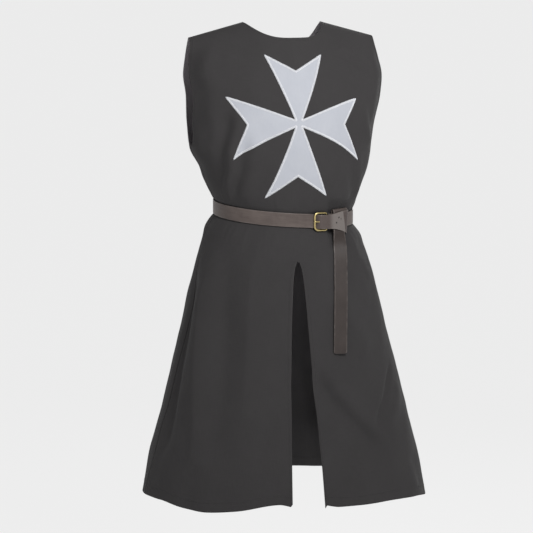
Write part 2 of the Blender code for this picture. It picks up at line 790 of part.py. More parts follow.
def build_frame():
    # rounded left corners, squarer right ones, thinner where the prong turns
    half = frame_height / 2 - frame_bar / 2
    left = frame_left + frame_bar / 2
    right = frame_right - pivot_bar / 2
    outline = []
    for k in range(6):
        turn = math.pi / 2 * k / 5
        x = left + frame_corner * (1 - math.sin(turn))
        outline.append((x, half - frame_corner * (1 - math.cos(turn))))
    corner_top = outline
    corner_low = [(x, -up) for x, up in reversed(outline)]
    small = 0.003
    run = [(left, 0.006), (left, -0.006)]
    low_right = [(right - small, -half), (right - small * 0.3, -half + small * 0.3), (right, -half + small)]
    top_right = [(x, -up) for x, up in reversed(low_right)]
    ring = corner_top + run + corner_low + low_right + [(right, -0.006), (right, 0.006)] + top_right
    clean = []
    for spot in ring:
        if not clean or math.dist(spot, clean[-1]) > 0.0004:
            clean.append(spot)
    path = []
    for k, (x, up) in enumerate(clean):
        before = clean[k - 1]
        after = clean[(k + 1) % len(clean)]
        middle = on_belt(x, frame_out(x), up)
        ahead = on_belt(after[0], frame_out(after[0]), after[1])
        back = on_belt(before[0], frame_out(before[0]), before[1])
        along = (ahead - back).normalized()
        out = (on_belt(x, 0.001, up) - on_belt(x, 0.0, up)).normalized()
        flat = along.cross(out).normalized()
        thin = pivot_bar / frame_bar if x > right - 0.0005 and abs(up) < half - 0.002 else 1.0
        path.append((middle, flat * thin, out * (0.80 if thin == 1.0 else thin)))
    points, faces = tube_solid(path, 8, (frame_bar / 2, frame_bar / 2), True)
    return add_object("buckle_frame", points, faces, (0.62, 0.50, 0.24), 0.3, 1.0)


def build_prong():
    # a ring round the pivot bar, then a rod through the strap's hole to rest on the left bar
    pivot_x = frame_right - pivot_bar / 2
    pivot_out = frame_out(pivot_x)
    ring = pivot_bar / 2 + belt_gap + prong_thick / 2
    spots = []
    for k in range(6):
        turn = math.radians(-35.0 + 130.0 * k / 5)
        spots.append((pivot_x + ring * math.cos(turn), pivot_out + ring * math.sin(turn)))
    bar_top = frame_out(frame_left + frame_bar / 2) + frame_bar / 2 * 0.80
    tip_out = bar_top + belt_gap + prong_thick / 2
    spots.append((frame_left + frame_bar + 0.0060, tip_out - 0.0002))
    spots.append((frame_left + frame_bar, tip_out))
    spots.append((frame_left + frame_bar / 2 - 0.0006, tip_out))
    path = []
    for k, (x, out_by) in enumerate(spots):
        before = spots[max(k - 1, 0)]
        after = spots[min(k + 1, len(spots) - 1)]
        middle = on_belt(x, out_by, 0.0)
        along = (on_belt(*after, 0.0) - on_belt(*before, 0.0)).normalized()
        up = Vector((0, 0, 1))
        path.append((middle, up, along.cross(up).normalized()))
    points, faces = tube_solid(path, 8, (prong_thick / 2 * 1.15, prong_thick / 2), False)
    return add_object("buckle_prong", points, faces, (0.66, 0.55, 0.30), 0.3, 1.0)


buckle_frame = build_frame()
buckle_prong = build_prong()
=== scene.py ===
import math
import random

import bpy
import numpy as np
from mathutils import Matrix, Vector
from mathutils.bvhtree import BVHTree


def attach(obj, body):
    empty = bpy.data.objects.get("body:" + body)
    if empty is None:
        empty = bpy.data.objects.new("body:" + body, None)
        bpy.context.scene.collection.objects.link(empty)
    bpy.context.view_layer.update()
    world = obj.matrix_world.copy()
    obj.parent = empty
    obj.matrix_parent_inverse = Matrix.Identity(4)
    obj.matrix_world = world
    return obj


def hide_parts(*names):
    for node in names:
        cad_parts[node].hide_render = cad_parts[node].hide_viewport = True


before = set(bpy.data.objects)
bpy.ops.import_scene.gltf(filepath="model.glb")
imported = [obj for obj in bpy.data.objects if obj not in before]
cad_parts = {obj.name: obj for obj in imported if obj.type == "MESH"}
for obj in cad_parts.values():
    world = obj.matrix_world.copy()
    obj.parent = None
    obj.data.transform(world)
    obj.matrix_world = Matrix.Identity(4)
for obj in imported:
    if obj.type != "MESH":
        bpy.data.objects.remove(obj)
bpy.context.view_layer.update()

# the form is given in heights that end up this far above the origin of the frame
formLift = 0.0062


# shader maths

class Wire:
    # one socket; sums and products of wires add Math nodes
    def __init__(self, paint, socket):
        self.paint = paint
        self.socket = socket

    def join(self, operation, first, second):
        return self.paint.node("ShaderNodeMath", {"operation": operation}, {0: first, 1: second})

    def __add__(self, other):
        return self.join("ADD", self, other)

    def __radd__(self, other):
        return self.join("ADD", other, self)

    def __sub__(self, other):
        return self.join("SUBTRACT", self, other)

    def __rsub__(self, other):
        return self.join("SUBTRACT", other, self)

    def __mul__(self, other):
        return self.join("MULTIPLY", self, other)

    def __rmul__(self, other):
        return self.join("MULTIPLY", other, self)

    def __truediv__(self, other):
        return self.join("DIVIDE", self, other)

    def __rtruediv__(self, other):
        return self.join("DIVIDE", other, self)


class Paint:
    # one material, or the sky; fixed holds the values that are the same all over it
    def __init__(self, name, fixed, store=bpy.data.materials, shader="Principled BSDF"):
        self.material = store.new(name)
        self.material.use_nodes = True
        self.tree = self.material.node_tree
        self.shader = self.tree.nodes[shader]
        for socket, value in fixed.items():
            self.shader.inputs[socket].default_value = value

    def node(self, kind, settings=None, sockets=None, output=0):
        made = self.tree.nodes.new(kind)
        for name, value in (settings or {}).items():
            if name == "stops":
                points = made.color_ramp.elements
                while len(points) < len(value):
                    points.new(1.0)
                for point, (place, shade) in zip(points, value):
                    point.position = place
                    point.color = (shade, shade, shade, 1.0)
            else:
                setattr(made, name, value)
        for key, value in (sockets or {}).items():
            if isinstance(value, Wire):
                self.tree.links.new(value.socket, made.inputs[key])
            else:
                made.inputs[key].default_value = value
        return Wire(self, made.outputs[output])

    def feed(self, socket, wire):
        self.tree.links.new(wire.socket, self.shader.inputs[socket])

    def place(self, attribute="lay"):
        return self.node("ShaderNodeAttribute", {"attribute_name": attribute}, output="Vector")

    def part(self, vector, axis):
        return self.node("ShaderNodeSeparateXYZ", None, {0: vector}, output=axis)

    def scaled(self, vector, factors):
        return self.node("ShaderNodeVectorMath", {"operation": "MULTIPLY"}, {0: vector, 1: factors})

    def noise(self, vector, scale, detail=2.0, rough=0.5):
        return self.node("ShaderNodeTexNoise", None,
                         {"Vector": vector, "Scale": scale, "Detail": detail, "Roughness": rough})

    def ramp(self, value, stops):
        return self.node("ShaderNodeValToRGB", {"stops": stops}, {0: value})

    def wave(self, value):
        return self.node("ShaderNodeMath", {"operation": "SINE"}, {0: value})

    def size(self, value):
        return self.node("ShaderNodeMath", {"operation": "ABSOLUTE"}, {0: value})

    def eased(self, value, start, end, first=0.0, last=1.0):
        # first up to start, easing to last at end
        return self.node("ShaderNodeMapRange", {"clamp": True, "interpolation_type": "SMOOTHSTEP"},
                         {0: value, 1: start, 2: end, 3: first, 4: last})

    def mixed(self, factor, first, second):
        return self.node("ShaderNodeMix", {"data_type": "RGBA"},
                         {0: factor, 6: first, 7: second}, output=2)

    def bumped(self, height, depth, strength=1.0):
        return self.node("ShaderNodeBump", None,
                         {"Height": height, "Distance": depth, "Strength": strength})


# the form that all cloth follows

form = {
    "neckHalf": 0.090, "neckHeight": -0.0062, "neckDropFront": 0.0335, "neckDropBack": 0.050,
    "neckRightPower": 2.6, "neckLeftPower": 5.2, "neckBackPower": 9.0,   # of the wearer's right and left
    "shoulderEnd": -0.0389, "shoulderSlope": 0.265,
    "shoulderRoll": 0.20, "rollFront": 0.5, "rollBack": 0.8,
    "armholeBottom": -0.280, "armholeTurn": 0.45, "slitTop": -0.5237, "hemLevel": -1.070,
    "slitEase": 0.09, "slitSpread": 1.6, "rollPower": 2.2,
    "seamGap": 0.00003, "wall": 0.0015, "edgeOut": 0.0030, "edgeBack": 0.016,
    "columnsNeck": 36, "columnsSide": 56, "rowStep": 0.0046, "slitRows": 4, "topRows": 64,
    "topClose": 1.35,      # draws the top rows together at the shoulder roll
    "slitSide": 0.07,      # turn that the slit's two edges take their height from
    "hemFrom": -0.62, "hemEase": 0.45,      # where the hem's unevenness starts, going down, and its reach
    # creases fade toward the shoulder line, are weaker on the armhole's edge and flat on the seam
    "shoulderCalm": 0.03, "armholeCalm": 0.5, "seamFlat": 0.93,
    "edgeFrom": 0.80, "edgeEase": (0.010, 0.060),      # where the armhole's edge turns back
}

# height, half width, front depth, back depth, squareness, shift to the wearer's left
formRows = (
    (0.000, 0.2130, 0.080, 0.085, 2.60, -0.0015),
    (-0.045, 0.2135, 0.090, 0.095, 2.60, -0.0015),
    (-0.085, 0.2175, 0.104, 0.108, 2.40, 0.0015),
    (-0.120, 0.2210, 0.113, 0.116, 2.20, 0.0040),
    (-0.165, 0.2155, 0.122, 0.122, 2.10, 0.0060),
    (-0.220, 0.2105, 0.129, 0.125, 2.20, 0.0010),
    (-0.280, 0.2060, 0.133, 0.126, 2.40, -0.0030),
    (-0.332, 0.1880, 0.131, 0.124, 2.50, 0.0035),
    (-0.359, 0.1786, 0.128, 0.122, 2.45, 0.0020),
    (-0.386, 0.1680, 0.125, 0.119, 2.35, 0.0018),
    (-0.402, 0.1610, 0.122, 0.117, 2.25, 0.0030),
    (-0.4080, 0.1590, 0.120, 0.1158, 2.20, 0.0035),
    (-0.4118, 0.1555, 0.1165, 0.1120, 2.20, 0.0040),
    (-0.4452, 0.1555, 0.1165, 0.1120, 2.20, 0.0040),
    (-0.4490, 0.1600, 0.120, 0.1158, 2.20, 0.0036),
    (-0.457, 0.1660, 0.1237, 0.1192, 2.20, 0.0030),
    (-0.470, 0.1750, 0.128, 0.124, 2.15, 0.0032),
    (-0.496, 0.1838, 0.132, 0.129, 2.10, 0.0034),
    (-0.550, 0.2010, 0.139, 0.137, 2.05, 0.0030),
    (-0.660, 0.2264, 0.155, 0.153, 2.00, 0.0050),
    (-0.770, 0.2547, 0.169, 0.167, 2.00, 0.0077),
    (-0.880, 0.2830, 0.181, 0.180, 2.00, 0.0110),
    (-0.990, 0.3111, 0.192, 0.191, 2.00, 0.0110),
    (-1.090, 0.3350, 0.201, 0.199, 2.00, 0.0110),
)

# angle from the front toward the wearer's left, height of the hem there
hemRows = (
    (-180.0, -1.054), (-150.0, -1.056), (-120.0, -1.053), (-90.0, -1.056), (-68.0, -1.056),
    (-50.0, -1.070), (-40.0, -1.074), (-25.0, -1.070), (-6.0, -1.0565), (0.0, -1.063),
    (7.0, -1.070), (30.0, -1.071), (55.0, -1.077), (78.0, -1.088), (95.0, -1.086),
    (125.0, -1.072), (150.0, -1.057), (180.0, -1.054),
)

# height, left edge and right edge of the front slit
slitRows = (
    (-0.5237, -0.0036, -0.0036), (-0.530, -0.0070, -0.0008), (-0.545, -0.0120, 0.0040),
    (-0.600, -0.0185, 0.0100),
    (-0.770, -0.0290, 0.0190), (-0.970, -0.0335, 0.0350), (-1.070, -0.0350, 0.0405),
)

belt = {
    "level": -0.4285, "width": 0.031, "thick": 0.0030, "gap": 0.0003,
    "frontSag": 0.0100, "sideTilt": 0.0107, "shiftEase": (0.02, 0.15),      # the cloth follows the tilt
    "stations": 190, "freeStations": 44, "round": 0.0009, "cuts": 12, "startPlace": 0.0736,
}


def smoothLine(rows, column):
    # smooth line through a column of a table that never swings past its rows
    rows = sorted(rows)
    x = np.array([row[0] for row in rows])
    y = np.array([row[column] for row in rows])
    step = np.diff(x)
    slope = np.diff(y) / step
    ends = np.zeros(len(x))
    for i in range(1, len(slope)):
        if slope[i - 1] * slope[i] > 0:
            before = 2 * step[i] + step[i - 1]
            after = step[i] + 2 * step[i - 1]
            ends[i] = (before + after) / (before / slope[i - 1] + after / slope[i])
    ends[0], ends[-1] = slope[0], slope[-1]

    def at(place):
        place = np.clip(place, x[0], x[-1])
        i = np.clip(np.searchsorted(x, place) - 1, 0, len(x) - 2)
        t = (place - x[i]) / step[i]
        low = y[i] * (1 + 2 * t) * (1 - t) ** 2 + ends[i] * step[i] * t * (1 - t) ** 2
        high = y[i + 1] * t * t * (3 - 2 * t) - ends[i + 1] * step[i] * t * t * (1 - t)
        return low + high

    return at


def softStep(low, high, value):
    # eases from 0 at low to 1 at high, whichever of them is larger
    t = np.clip((np.asarray(value, float) - low) / (high - low), 0.0, 1.0)
    return t * t * (3 - 2 * t)


halfWidth, frontDepth, backDepth, squareness, shift = (smoothLine(formRows, k) for k in range(1, 6))
hemHeight = smoothLine(hemRows, 1)
slitLeft, slitRight = smoothLine(slitRows, 1), smoothLine(slitRows, 2)


def shoulderLine(x):
    return form["neckHeight"] - (np.abs(x) - form["neckHalf"]) * form["shoulderSlope"]


def neckLine(side, x):
    share = np.minimum(np.abs(x) / form["neckHalf"], 1.0)
    if side > 0:
        return form["neckHeight"] - form["neckDropBack"] * (1 - share ** form["neckBackPower"])
    power = np.where(x < 0, form["neckRightPower"], form["neckLeftPower"])
    return form["neckHeight"] - form["neckDropFront"] * (1 - share ** power)


def beltShift(angle):
    turn = np.radians(angle)
    return -belt["frontSag"] * np.cos(turn) - belt["sideTilt"] * np.sin(turn)


# creases: path of (angle, height), half width toward the wearer's right and left,
# lift (minus sinks), and the crispness of those that aren't evenly soft
creases = (
    # skirt front, the wearer's right
    (((-71, -.470), (-69, -.53), (-66, -.64), (-62, -.73), (-57, -.82), (-53, -.89), (-52, -.955),
      (-55, -.99), (-62, -1.015), (-71, -1.035)), 0.034, 0.050, 0.0180, 1.35),
    (((-88, -.50), (-86, -.64), (-82, -.80), (-78, -.93), (-84, -1.04)), 0.034, 0.030, -0.0130),
    (((-66, -.465), (-60, -.55), (-53, -.66), (-47, -.77), (-41, -.90)), 0.026, 0.026, 0.0022),
    (((-57, -.45), (-50, -.545), (-44, -.67), (-41, -.77), (-40, -.90), (-40, -1.02)),
     0.030, 0.030, -0.0080),
    (((-30, -.455), (-30, -.54), (-28, -.65), (-26, -.77), (-26, -.88)), 0.020, 0.050, 0.0070, 1.4),
    (((-22, -.80), (-24, -.90), (-26, -1.00), (-27, -1.10)), 0.026, 0.034, 0.0030),
    (((-58, -.87), (-54, -.95), (-51, -1.01), (-49, -1.12)), 0.026, 0.030, -0.0045),
    (((-10, -.83), (-14, -.93), (-15, -1.02)), 0.020, 0.024, -0.0022),
    (((-9, -.585), (-5, -.592), (-2, -.597)), 0.006, 0.007, -0.0012),
    (((-8, -.93), (-12, -.965), (-17, -.99)), 0.010, 0.014, -0.0014),
    # skirt front, the wearer's left
    (((20, -.575), (27, -.635), (33, -.70), (38, -.76)), 0.018, 0.026, 0.0052),
    (((1, -.750), (5, -.795), (9, -.835), (17.5, -.882), (30, -.946), (37, -.985)), 0.024, 0.019, -0.0096),
    (((4, -.720), (9, -.780), (14, -.822), (23, -.869), (36, -.936)), 0.018, 0.028, 0.0060),
    (((63, -.760), (52.5, -.806), (43, -.848), (34.5, -.887), (31, -.912)), 0.0095, 0.0085, -0.0066),
    (((69, -.805), (57, -.846), (47, -.885), (39, -.925)), 0.015, 0.026, 0.0030),
    (((46, -.455), (50, -.49), (57, -.54), (63, -.60)), 0.012, 0.018, 0.0026),
    (((36, -.46), (40, -.50), (45, -.56)), 0.014, 0.016, -0.0024),
    (((58, -.97), (63, -1.01), (66, -1.06)), 0.020, 0.024, -0.0024),
    (((16, -.95), (20, -1.01), (21, -1.10)), 0.030, 0.034, 0.0024),
    (((80, -.50), (78, -.70), (80, -.90), (78, -1.12)), 0.030, 0.034, 0.0034),
    (((7, -.503), (13, -.515), (18, -.522)), 0.006, 0.007, -0.0013),
    (((10, -.56), (15, -.582), (19, -.592)), 0.007, 0.009, -0.0013),
    # skirt back
    (((110, -.45), (114, -.62), (117, -.85), (119, -1.14)), 0.026, 0.034, -0.0125, 1.8),
    (((134, -.46), (137, -.64), (138, -.86), (142, -1.14)), 0.034, 0.024, 0.0145, 1.5),
    (((157, -.45), (158, -.60), (162, -.82), (163, -1.14)), 0.024, 0.032, -0.0165, 1.8),
    (((173, -.47), (176, -.63), (175, -.80), (172, -.93)), 0.022, 0.028, 0.0056, 1.6),
    (((-174, -.47), (-171, -.70), (-167, -.90), (-168, -1.14)), 0.034, 0.038, 0.0100, 1.7),
    (((-148, -.45), (-146, -.62), (-142, -.84), (-141, -1.14)), 0.030, 0.024, -0.0170, 1.8),
    (((-122, -.47), (-119, -.66), (-115, -.88), (-113, -1.14)), 0.026, 0.034, 0.0135, 1.5),
    (((148, -.78), (151, -.88), (150, -.99)), 0.022, 0.028, 0.0044, 1.8),
    (((-158, -.74), (-155, -.86), (-157, -.97)), 0.022, 0.022, -0.0044, 1.8),
    # body front, the wearer's right
    (((-43, -.17), (-46, -.224), (-54, -.285), (-66, -.35), (-78, -.405)), 0.022, 0.017, -0.0095),
    (((-36, -.17), (-39, -.224), (-46, -.28), (-57, -.35), (-68, -.405)), 0.014, 0.016, 0.0052),
    (((-31, -.235), (-36, -.28), (-48, -.35), (-60, -.408)), 0.013, 0.013, -0.0070),
    (((-23, -.245), (-28, -.29), (-38, -.355), (-50, -.408)), 0.012, 0.016, 0.0028),
    (((-46, -.045), (-52, -.075), (-59, -.11), (-66, -.14)), 0.012, 0.014, 0.0030),
    (((-40, -.07), (-44, -.11), (-46, -.16), (-47, -.20)), 0.018, 0.020, -0.0015),
    (((-60, -.20), (-66, -.26), (-76, -.33)), 0.018, 0.020, -0.0034),
    # body front, the wearer's left
    (((34, -.26), (39, -.305), (47, -.355), (63, -.405)), 0.015, 0.016, -0.0048),
    (((42, -.27), (48, -.31), (58, -.36), (70, -.40)), 0.012, 0.014, 0.0026),
    (((36, -.16), (41, -.19), (50, -.23), (62, -.265), (74, -.29)), 0.014, 0.018, 0.0046),
    (((48, -.18), (58, -.225), (70, -.26)), 0.012, 0.016, -0.0024),
    (((24, -.070), (30, -.082), (39, -.098), (50, -.113), (55, -.119)), 0.010, 0.012, -0.0046),
    (((26, -.056), (37, -.073), (48, -.090)), 0.011, 0.013, 0.0036),
    (((24, -.37), (27, -.41)), 0.008, 0.009, -0.0014),
    # body back
    (((140, -.21), (132, -.29), (120, -.36), (108, -.41)), 0.018, 0.015, -0.0098, 1.8),
    (((-138, -.22), (-130, -.30), (-117, -.37), (-106, -.41)), 0.015, 0.018, -0.0094, 1.8),
    (((166, -.25), (160, -.33), (149, -.41)), 0.016, 0.014, -0.0074, 1.8),
    (((-163, -.27), (-156, -.34), (-147, -.41)), 0.014, 0.017, -0.0072, 1.8),
    (((154, -.06), (148, -.12), (136, -.19), (122, -.25)), 0.018, 0.022, -0.0054, 1.8),
    (((-152, -.07), (-143, -.13), (-130, -.20)), 0.020, 0.018, -0.0050, 1.8),
    (((178, -.10), (176, -.20), (179, -.30)), 0.022, 0.026, 0.0036, 1.8),
)

# small gathers that the belt pulls in, above and below it
gathers = {"count": 52, "reachUp": 0.034, "reachDown": 0.048, "lift": 0.0018, "half": 0.0042,
           "edge": 0.0168, "full": 0.030,      # from the belt's middle, where they start and are whole
           "middle": 0.35, "calmAt": 8.0, "calmHalf": 42.0,      # share left in the middle of the front
           "seed": 11, "jitter": 0.36, "shares": (0.3, 1.0), "widths": (0.7, 1.4),
           "lean": 5.0, "leanOver": 0.05}      # degrees, over this height

# slack in the cloth that belongs to no crease
slack = {"waves": ((0.110, 0.00028, 14), (0.040, 0.000056, 18)),      # size, lift, count
         "radius": 0.19, "seed": 23, "tilt": 0.9, "sizes": (0.7, 1.8),
         "fromBelt": (0.017, 0.05)}


def reachAt(height):
    # mean radius of the form
    return (halfWidth(height) + (frontDepth(height) + backDepth(height)) / 2) / 2


def pathLift(across, level, path, halfRight, halfLeft, lift, crisp=2.0):
    # lift of one crease at points given by their distance round the body and their height
    spots = [(math.radians(a) * float(reachAt(h)), h) for a, h in path]
    best = np.full(across.shape, 1e9)
    side = np.zeros(across.shape)
    along = np.zeros(across.shape)
    total = sum(math.dist(a, b) for a, b in zip(spots[:-1], spots[1:]))
    gone = 0.0
    for (ax, az), (bx, bz) in zip(spots[:-1], spots[1:]):
        length = math.dist((ax, az), (bx, bz))
        ux, uz = (bx - ax) / length, (bz - az) / length
        t = np.clip((across - ax) * ux + (level - az) * uz, 0.0, length)
        dx, dz = across - (ax + ux * t), level - (az + uz * t)
        far = np.hypot(dx, dz)
        nearer = far < best
        best = np.where(nearer, far, best)
        side = np.where(nearer, dz * ux - dx * uz, side)
        along = np.where(nearer, gone + t, along)
        gone += length
    half = np.where(side < 0, halfRight, halfLeft)
    share = along / total
    # it rises over a quarter of its length at each end
    ends = softStep(0.0, 0.25, share) * softStep(0.0, 0.25, 1.0 - share)
    return lift * (0.15 + 0.85 * ends) * ends ** 0.35 * np.exp(-(best / half) ** crisp)


def creaseLift(angle, level):
    reach = reachAt(level)
    total = np.zeros(angle.shape)
    for crease in creases:
        middle = crease[0][0][0]
        turned = middle + (angle - middle + 180.0) % 360.0 - 180.0      # nearest turn to the crease
        total += pathLift(np.radians(turned) * reach, level, *crease)
    marks = random.Random(gathers["seed"])
    for k in range(gathers["count"]):
        place = k + marks.uniform(-gathers["jitter"], gathers["jitter"])
        middle = -180.0 + 360.0 * place / gathers["count"]
        up, down = marks.uniform(*gathers["shares"]), marks.uniform(*gathers["shares"])
        lean = marks.uniform(-gathers["lean"], gathers["lean"]) * (belt["level"] - level)
        away = (angle - middle - lean / gathers["leanOver"] + 180.0) % 360.0 - 180.0
        half = gathers["half"] * marks.uniform(*gathers["widths"])
        shape = np.exp(-(np.radians(away) * reach / half) ** 2)
        above = level - belt["level"] - gathers["edge"]
        below = belt["level"] - gathers["edge"] - level
        fade = np.where(above > 0, up * np.exp(-(above / (gathers["reachUp"] * up)) ** 2), 0.0)
        fade += np.where(below > 0, down * np.exp(-(below / (gathers["reachDown"] * down)) ** 2), 0.0)
        calm = math.exp(-((middle - gathers["calmAt"]) / gathers["calmHalf"]) ** 2)
        calm = 1 - (1 - gathers["middle"]) * calm
        total += gathers["lift"] * calm * shape * fade
    return total * softStep(gathers["edge"], gathers["full"], np.abs(level - belt["level"]))


def slackLift(angle, level):
    # smooth uneven waves, the same on every run
    marks = random.Random(slack["seed"])
    total = np.zeros(angle.shape)
    for size, lift, count in slack["waves"]:
        for _ in range(count):
            tilt = marks.uniform(-slack["tilt"], slack["tilt"])
            length = size * marks.uniform(*slack["sizes"])
            # whole turns meet at the back
            turns = round(2 * math.pi * slack["radius"] * math.cos(tilt) / length)
            phase = marks.uniform(0, 2 * math.pi)
            rise = level * 2 * math.pi * math.sin(tilt) / length
            total += lift * np.sin(np.radians(angle) * turns + rise + phase)
    return total


# cloth pressed in by the buckle and the turned strap: place across, half span, height, half height, depth
tucks = (
    (0.083, 0.053, -0.4285, 0.044, 0.0044),
    (0.102, 0.027, -0.4680, 0.027, 0.0075),
    (0.102, 0.027, -0.4020, 0.016, 0.0065),
)


def outerFace(side, turn, level, height, bare=False, slit=None):
    # points of the cloth's outer face, as arrays; slit is -1 or 1 beside the front slit
    power = squareness(level)
    bottom = form["armholeBottom"]
    rise = np.clip((level - bottom) / (form["shoulderEnd"] - bottom), 0.0, 1.0)
    openShare = form["armholeTurn"] * np.sqrt(np.maximum(0.0, 2 * rise - rise * rise))
    edge = (1 - openShare ** power) ** (1 / power)
    widest = halfWidth(level) / edge
    swing = np.arcsin(np.minimum(edge, 1.0))
    centre = shift(level)
    x = centre + widest * np.sin(turn * swing)
    if slit is not None:
        target = np.where(slit < 0, slitLeft(height), slitRight(height))
        # eases in above the slit
        near = softStep(form["slitTop"] + form["slitEase"], form["slitTop"], level)
        x = x + (target - centre) * (1 - np.abs(turn)) ** form["slitSpread"] * near
    share = np.minimum(np.abs(x - centre) / widest, 1.0)
    curve = np.maximum(0.0, 1 - share ** power) ** (1 / power)
    below = np.maximum(0.0, shoulderLine(x) - height)
    rise = np.maximum(0.0, 1 - np.maximum(0.0, 1 - below / form["shoulderRoll"]) ** form["rollPower"])
    roll = rise ** (form["rollFront"] if side < 0 else form["rollBack"])
    depth = (frontDepth if side < 0 else backDepth)(np.where(level < bottom, level, height))
    y = depth * curve * roll
    if not bare:
        angle = np.degrees(turn * swing)
        if side > 0:
            angle = 180.0 - angle
        push = creaseLift(angle, np.where(level < bottom, level, height))
        free = softStep(*slack["fromBelt"], np.abs(level - belt["level"]))
        push = push + slackLift(angle, height) * free
        push = push * softStep(0.0, form["shoulderCalm"], below)
        push = np.where((level > bottom) & (np.abs(turn) > 0.999), push * form["armholeCalm"], push)
        if side < 0:
            for place, half, middle, tall, deep in tucks:
                push = push - deep * np.exp(-((x - place) / half) ** 8 - ((level - middle) / tall) ** 4)
        nx = (x - centre) / widest ** 2
        ny = y / depth ** 2
        size = np.maximum(np.hypot(nx, ny), 1e-9)
        seam = np.where(level <= bottom, 1 - softStep(form["seamFlat"], 1.0, np.abs(turn)), 1.0)
        x = x + push * nx / size
        y = y + push * ny / size * seam
        if side < 0:
            start, whole = form["edgeEase"]
            wrap = softStep(form["edgeFrom"], 1.0, np.abs(turn))
            wrap = wrap * softStep(bottom + start, bottom + whole, height) * softStep(start, whole, below)
            x = x + np.sign(turn) * form["edgeOut"] * wrap
            y = y - form["edgeBack"] * wrap
    return np.stack([x, side * (np.maximum(y, 0.0) + form["seamGap"] / 2), height], -1)


def dropOf(side, turn, level):
    # height of a point whose level is given: the belt tilts and the hem is uneven
    angle = turn * 90.0
    if side > 0:
        angle = 180.0 - angle
    wrapped = (angle + 180.0) % 360.0 - 180.0
    nearBelt = 1 - softStep(*belt["shiftEase"], np.abs(level - belt["level"]))
    nearHem = softStep(0.0, form["hemEase"], form["hemFrom"] - level)
    return level + beltShift(angle) * nearBelt + (hemHeight(wrapped) - form["hemLevel"]) * nearHem


def rowLevels():
    # levels from the hem to the armhole's bottom, with a row on each section that the form turns at
    stops = (form["hemLevel"], -1.00, -0.90, -0.80, -0.70, -0.61, -0.530, form["slitTop"], -0.478, -0.457,
             -0.4490, -0.4452, -0.4118, -0.4080, -0.402, -0.372, form["armholeBottom"])
    levels = [stops[0]]
    for low, high in zip(stops[:-1], stops[1:]):
        count = max(1, math.ceil((high - low) / form["rowStep"]))
        if high == form["slitTop"]:
            count = form["slitRows"]      # close rows where the slit ends
        levels += [low + (high - low) * (k + 1) / count for k in range(count)]
    return np.array(levels)


def columnTurns():
    # turns of the columns, one of them at each neck corner
    end = form["shoulderEnd"]
    power = float(squareness(end))
    edge = (1 - form["armholeTurn"] ** power) ** (1 / power)
    widest = float(halfWidth(end)) / edge
    turns = []
    for sign in (-1, 1):
        corner = math.asin((form["neckHalf"] - sign * float(shift(end))) / widest) / math.asin(edge)
        near = [corner * k / form["columnsNeck"] for k in range(form["columnsNeck"])]
        far = [corner + (1 - corner) * k / form["columnsSide"] for k in range(form["columnsSide"] + 1)]
        turns.append(near + far)
    return np.array([-t for t in reversed(turns[0][1:])] + turns[1])


def panelGrid(side, slit):
    # grid of outer points, with the number of rows that the slit keeps open
    turns = columnTurns()
    middle = int(np.argmin(np.abs(turns)))
    halves = np.where(turns < 0, -1, 1)
    if slit:
        turns = np.insert(turns, middle, 0.0)
        halves = np.insert(halves, middle, -1)
    levels = rowLevels()
    turn, level = np.meshgrid(turns, levels)
    half = np.broadcast_to(halves, turn.shape)
    place = np.where(slit & (turn == 0.0), form["slitSide"] * half, turn)
    height = dropOf(side, place, level)
    opened = level < form["slitTop"] - 1e-6
    low = outerFace(side, turn, level, height, slit=half if slit else None)
    end, bottom = form["shoulderEnd"], form["armholeBottom"]
    flat = np.full(turns.shape, end)
    topX = outerFace(side, turns, flat, flat, bare=True)[:, 0]
    top = np.where(np.abs(topX) >= form["neckHalf"] - 1e-5, shoulderLine(topX), neckLine(side, topX))
    count = form["topRows"]
    steps = 1 - (1 - np.arange(1, count + 1) / count) ** form["topClose"]
    turn, step = np.meshgrid(turns, steps)
    height = bottom + (top - bottom) * step
    high = outerFace(side, turn, bottom + (end - bottom) * step, height)
    openRows = int(opened[:, 0].sum()) if slit else 0
    return np.concatenate([low, high]), middle, openRows


def spans(grid, axis):
    # distance gone along the rows or the columns of a grid
    gaps = np.linalg.norm(np.diff(grid, axis=axis), axis=2)
    start = np.zeros_like(gaps[:1] if axis == 0 else gaps[:, :1])
    return np.concatenate([start, np.cumsum(gaps, axis=axis)], axis=axis)


def meshOf(name, points, faces, paint, attributes=None):
    # attributes are vectors, one for each point
    mesh = bpy.data.meshes.new(name)
    mesh.from_pydata([tuple(map(float, p)) for p in points], [], faces)
    mesh.update()
    mesh.polygons.foreach_set("use_smooth", [True] * len(mesh.polygons))
    for key, values in (attributes or {}).items():
        made = mesh.attributes.new(key, "FLOAT_VECTOR", "POINT")
        made.data.foreach_set("vector", np.asarray(values, np.float32).ravel())
    thing = bpy.data.objects.new(name, mesh)
    bpy.context.collection.objects.link(thing)
    mesh.materials.append(paint.material)
    return thing


def shellFaces(faces, count):
    # outer faces, inner faces turned over, and the rim between them
    owned = {(face[k], face[(k + 1) % 4]) for face in faces for k in range(4)}
    rim = sorted((a, b) for a, b in owned if (b, a) not in owned)
    inner = [tuple(k + count for k in reversed(face)) for face in faces]
    return [tuple(face) for face in faces] + inner + [(b, a, a + count, b + count) for a, b in rim]


def tubeFaces(rings, sides, start=0, closed=False):
    # faces through rings of points, with an end at each side unless the tube closes on itself
    faces = []
    for i in range(rings if closed else rings - 1):
        a, b = start + i * sides, start + (i + 1) % rings * sides
        faces += [(a + s, a + (s + 1) % sides, b + (s + 1) % sides, b + s) for s in range(sides)]
    if not closed:
        last = start + (rings - 1) * sides
        faces.append(tuple(start + s for s in reversed(range(sides))))
        faces.append(tuple(last + s for s in range(sides)))
    return faces


def finishPiece(thing, nodes=()):
    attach(thing, "root")
    if nodes:
        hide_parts(*nodes)
    return thing


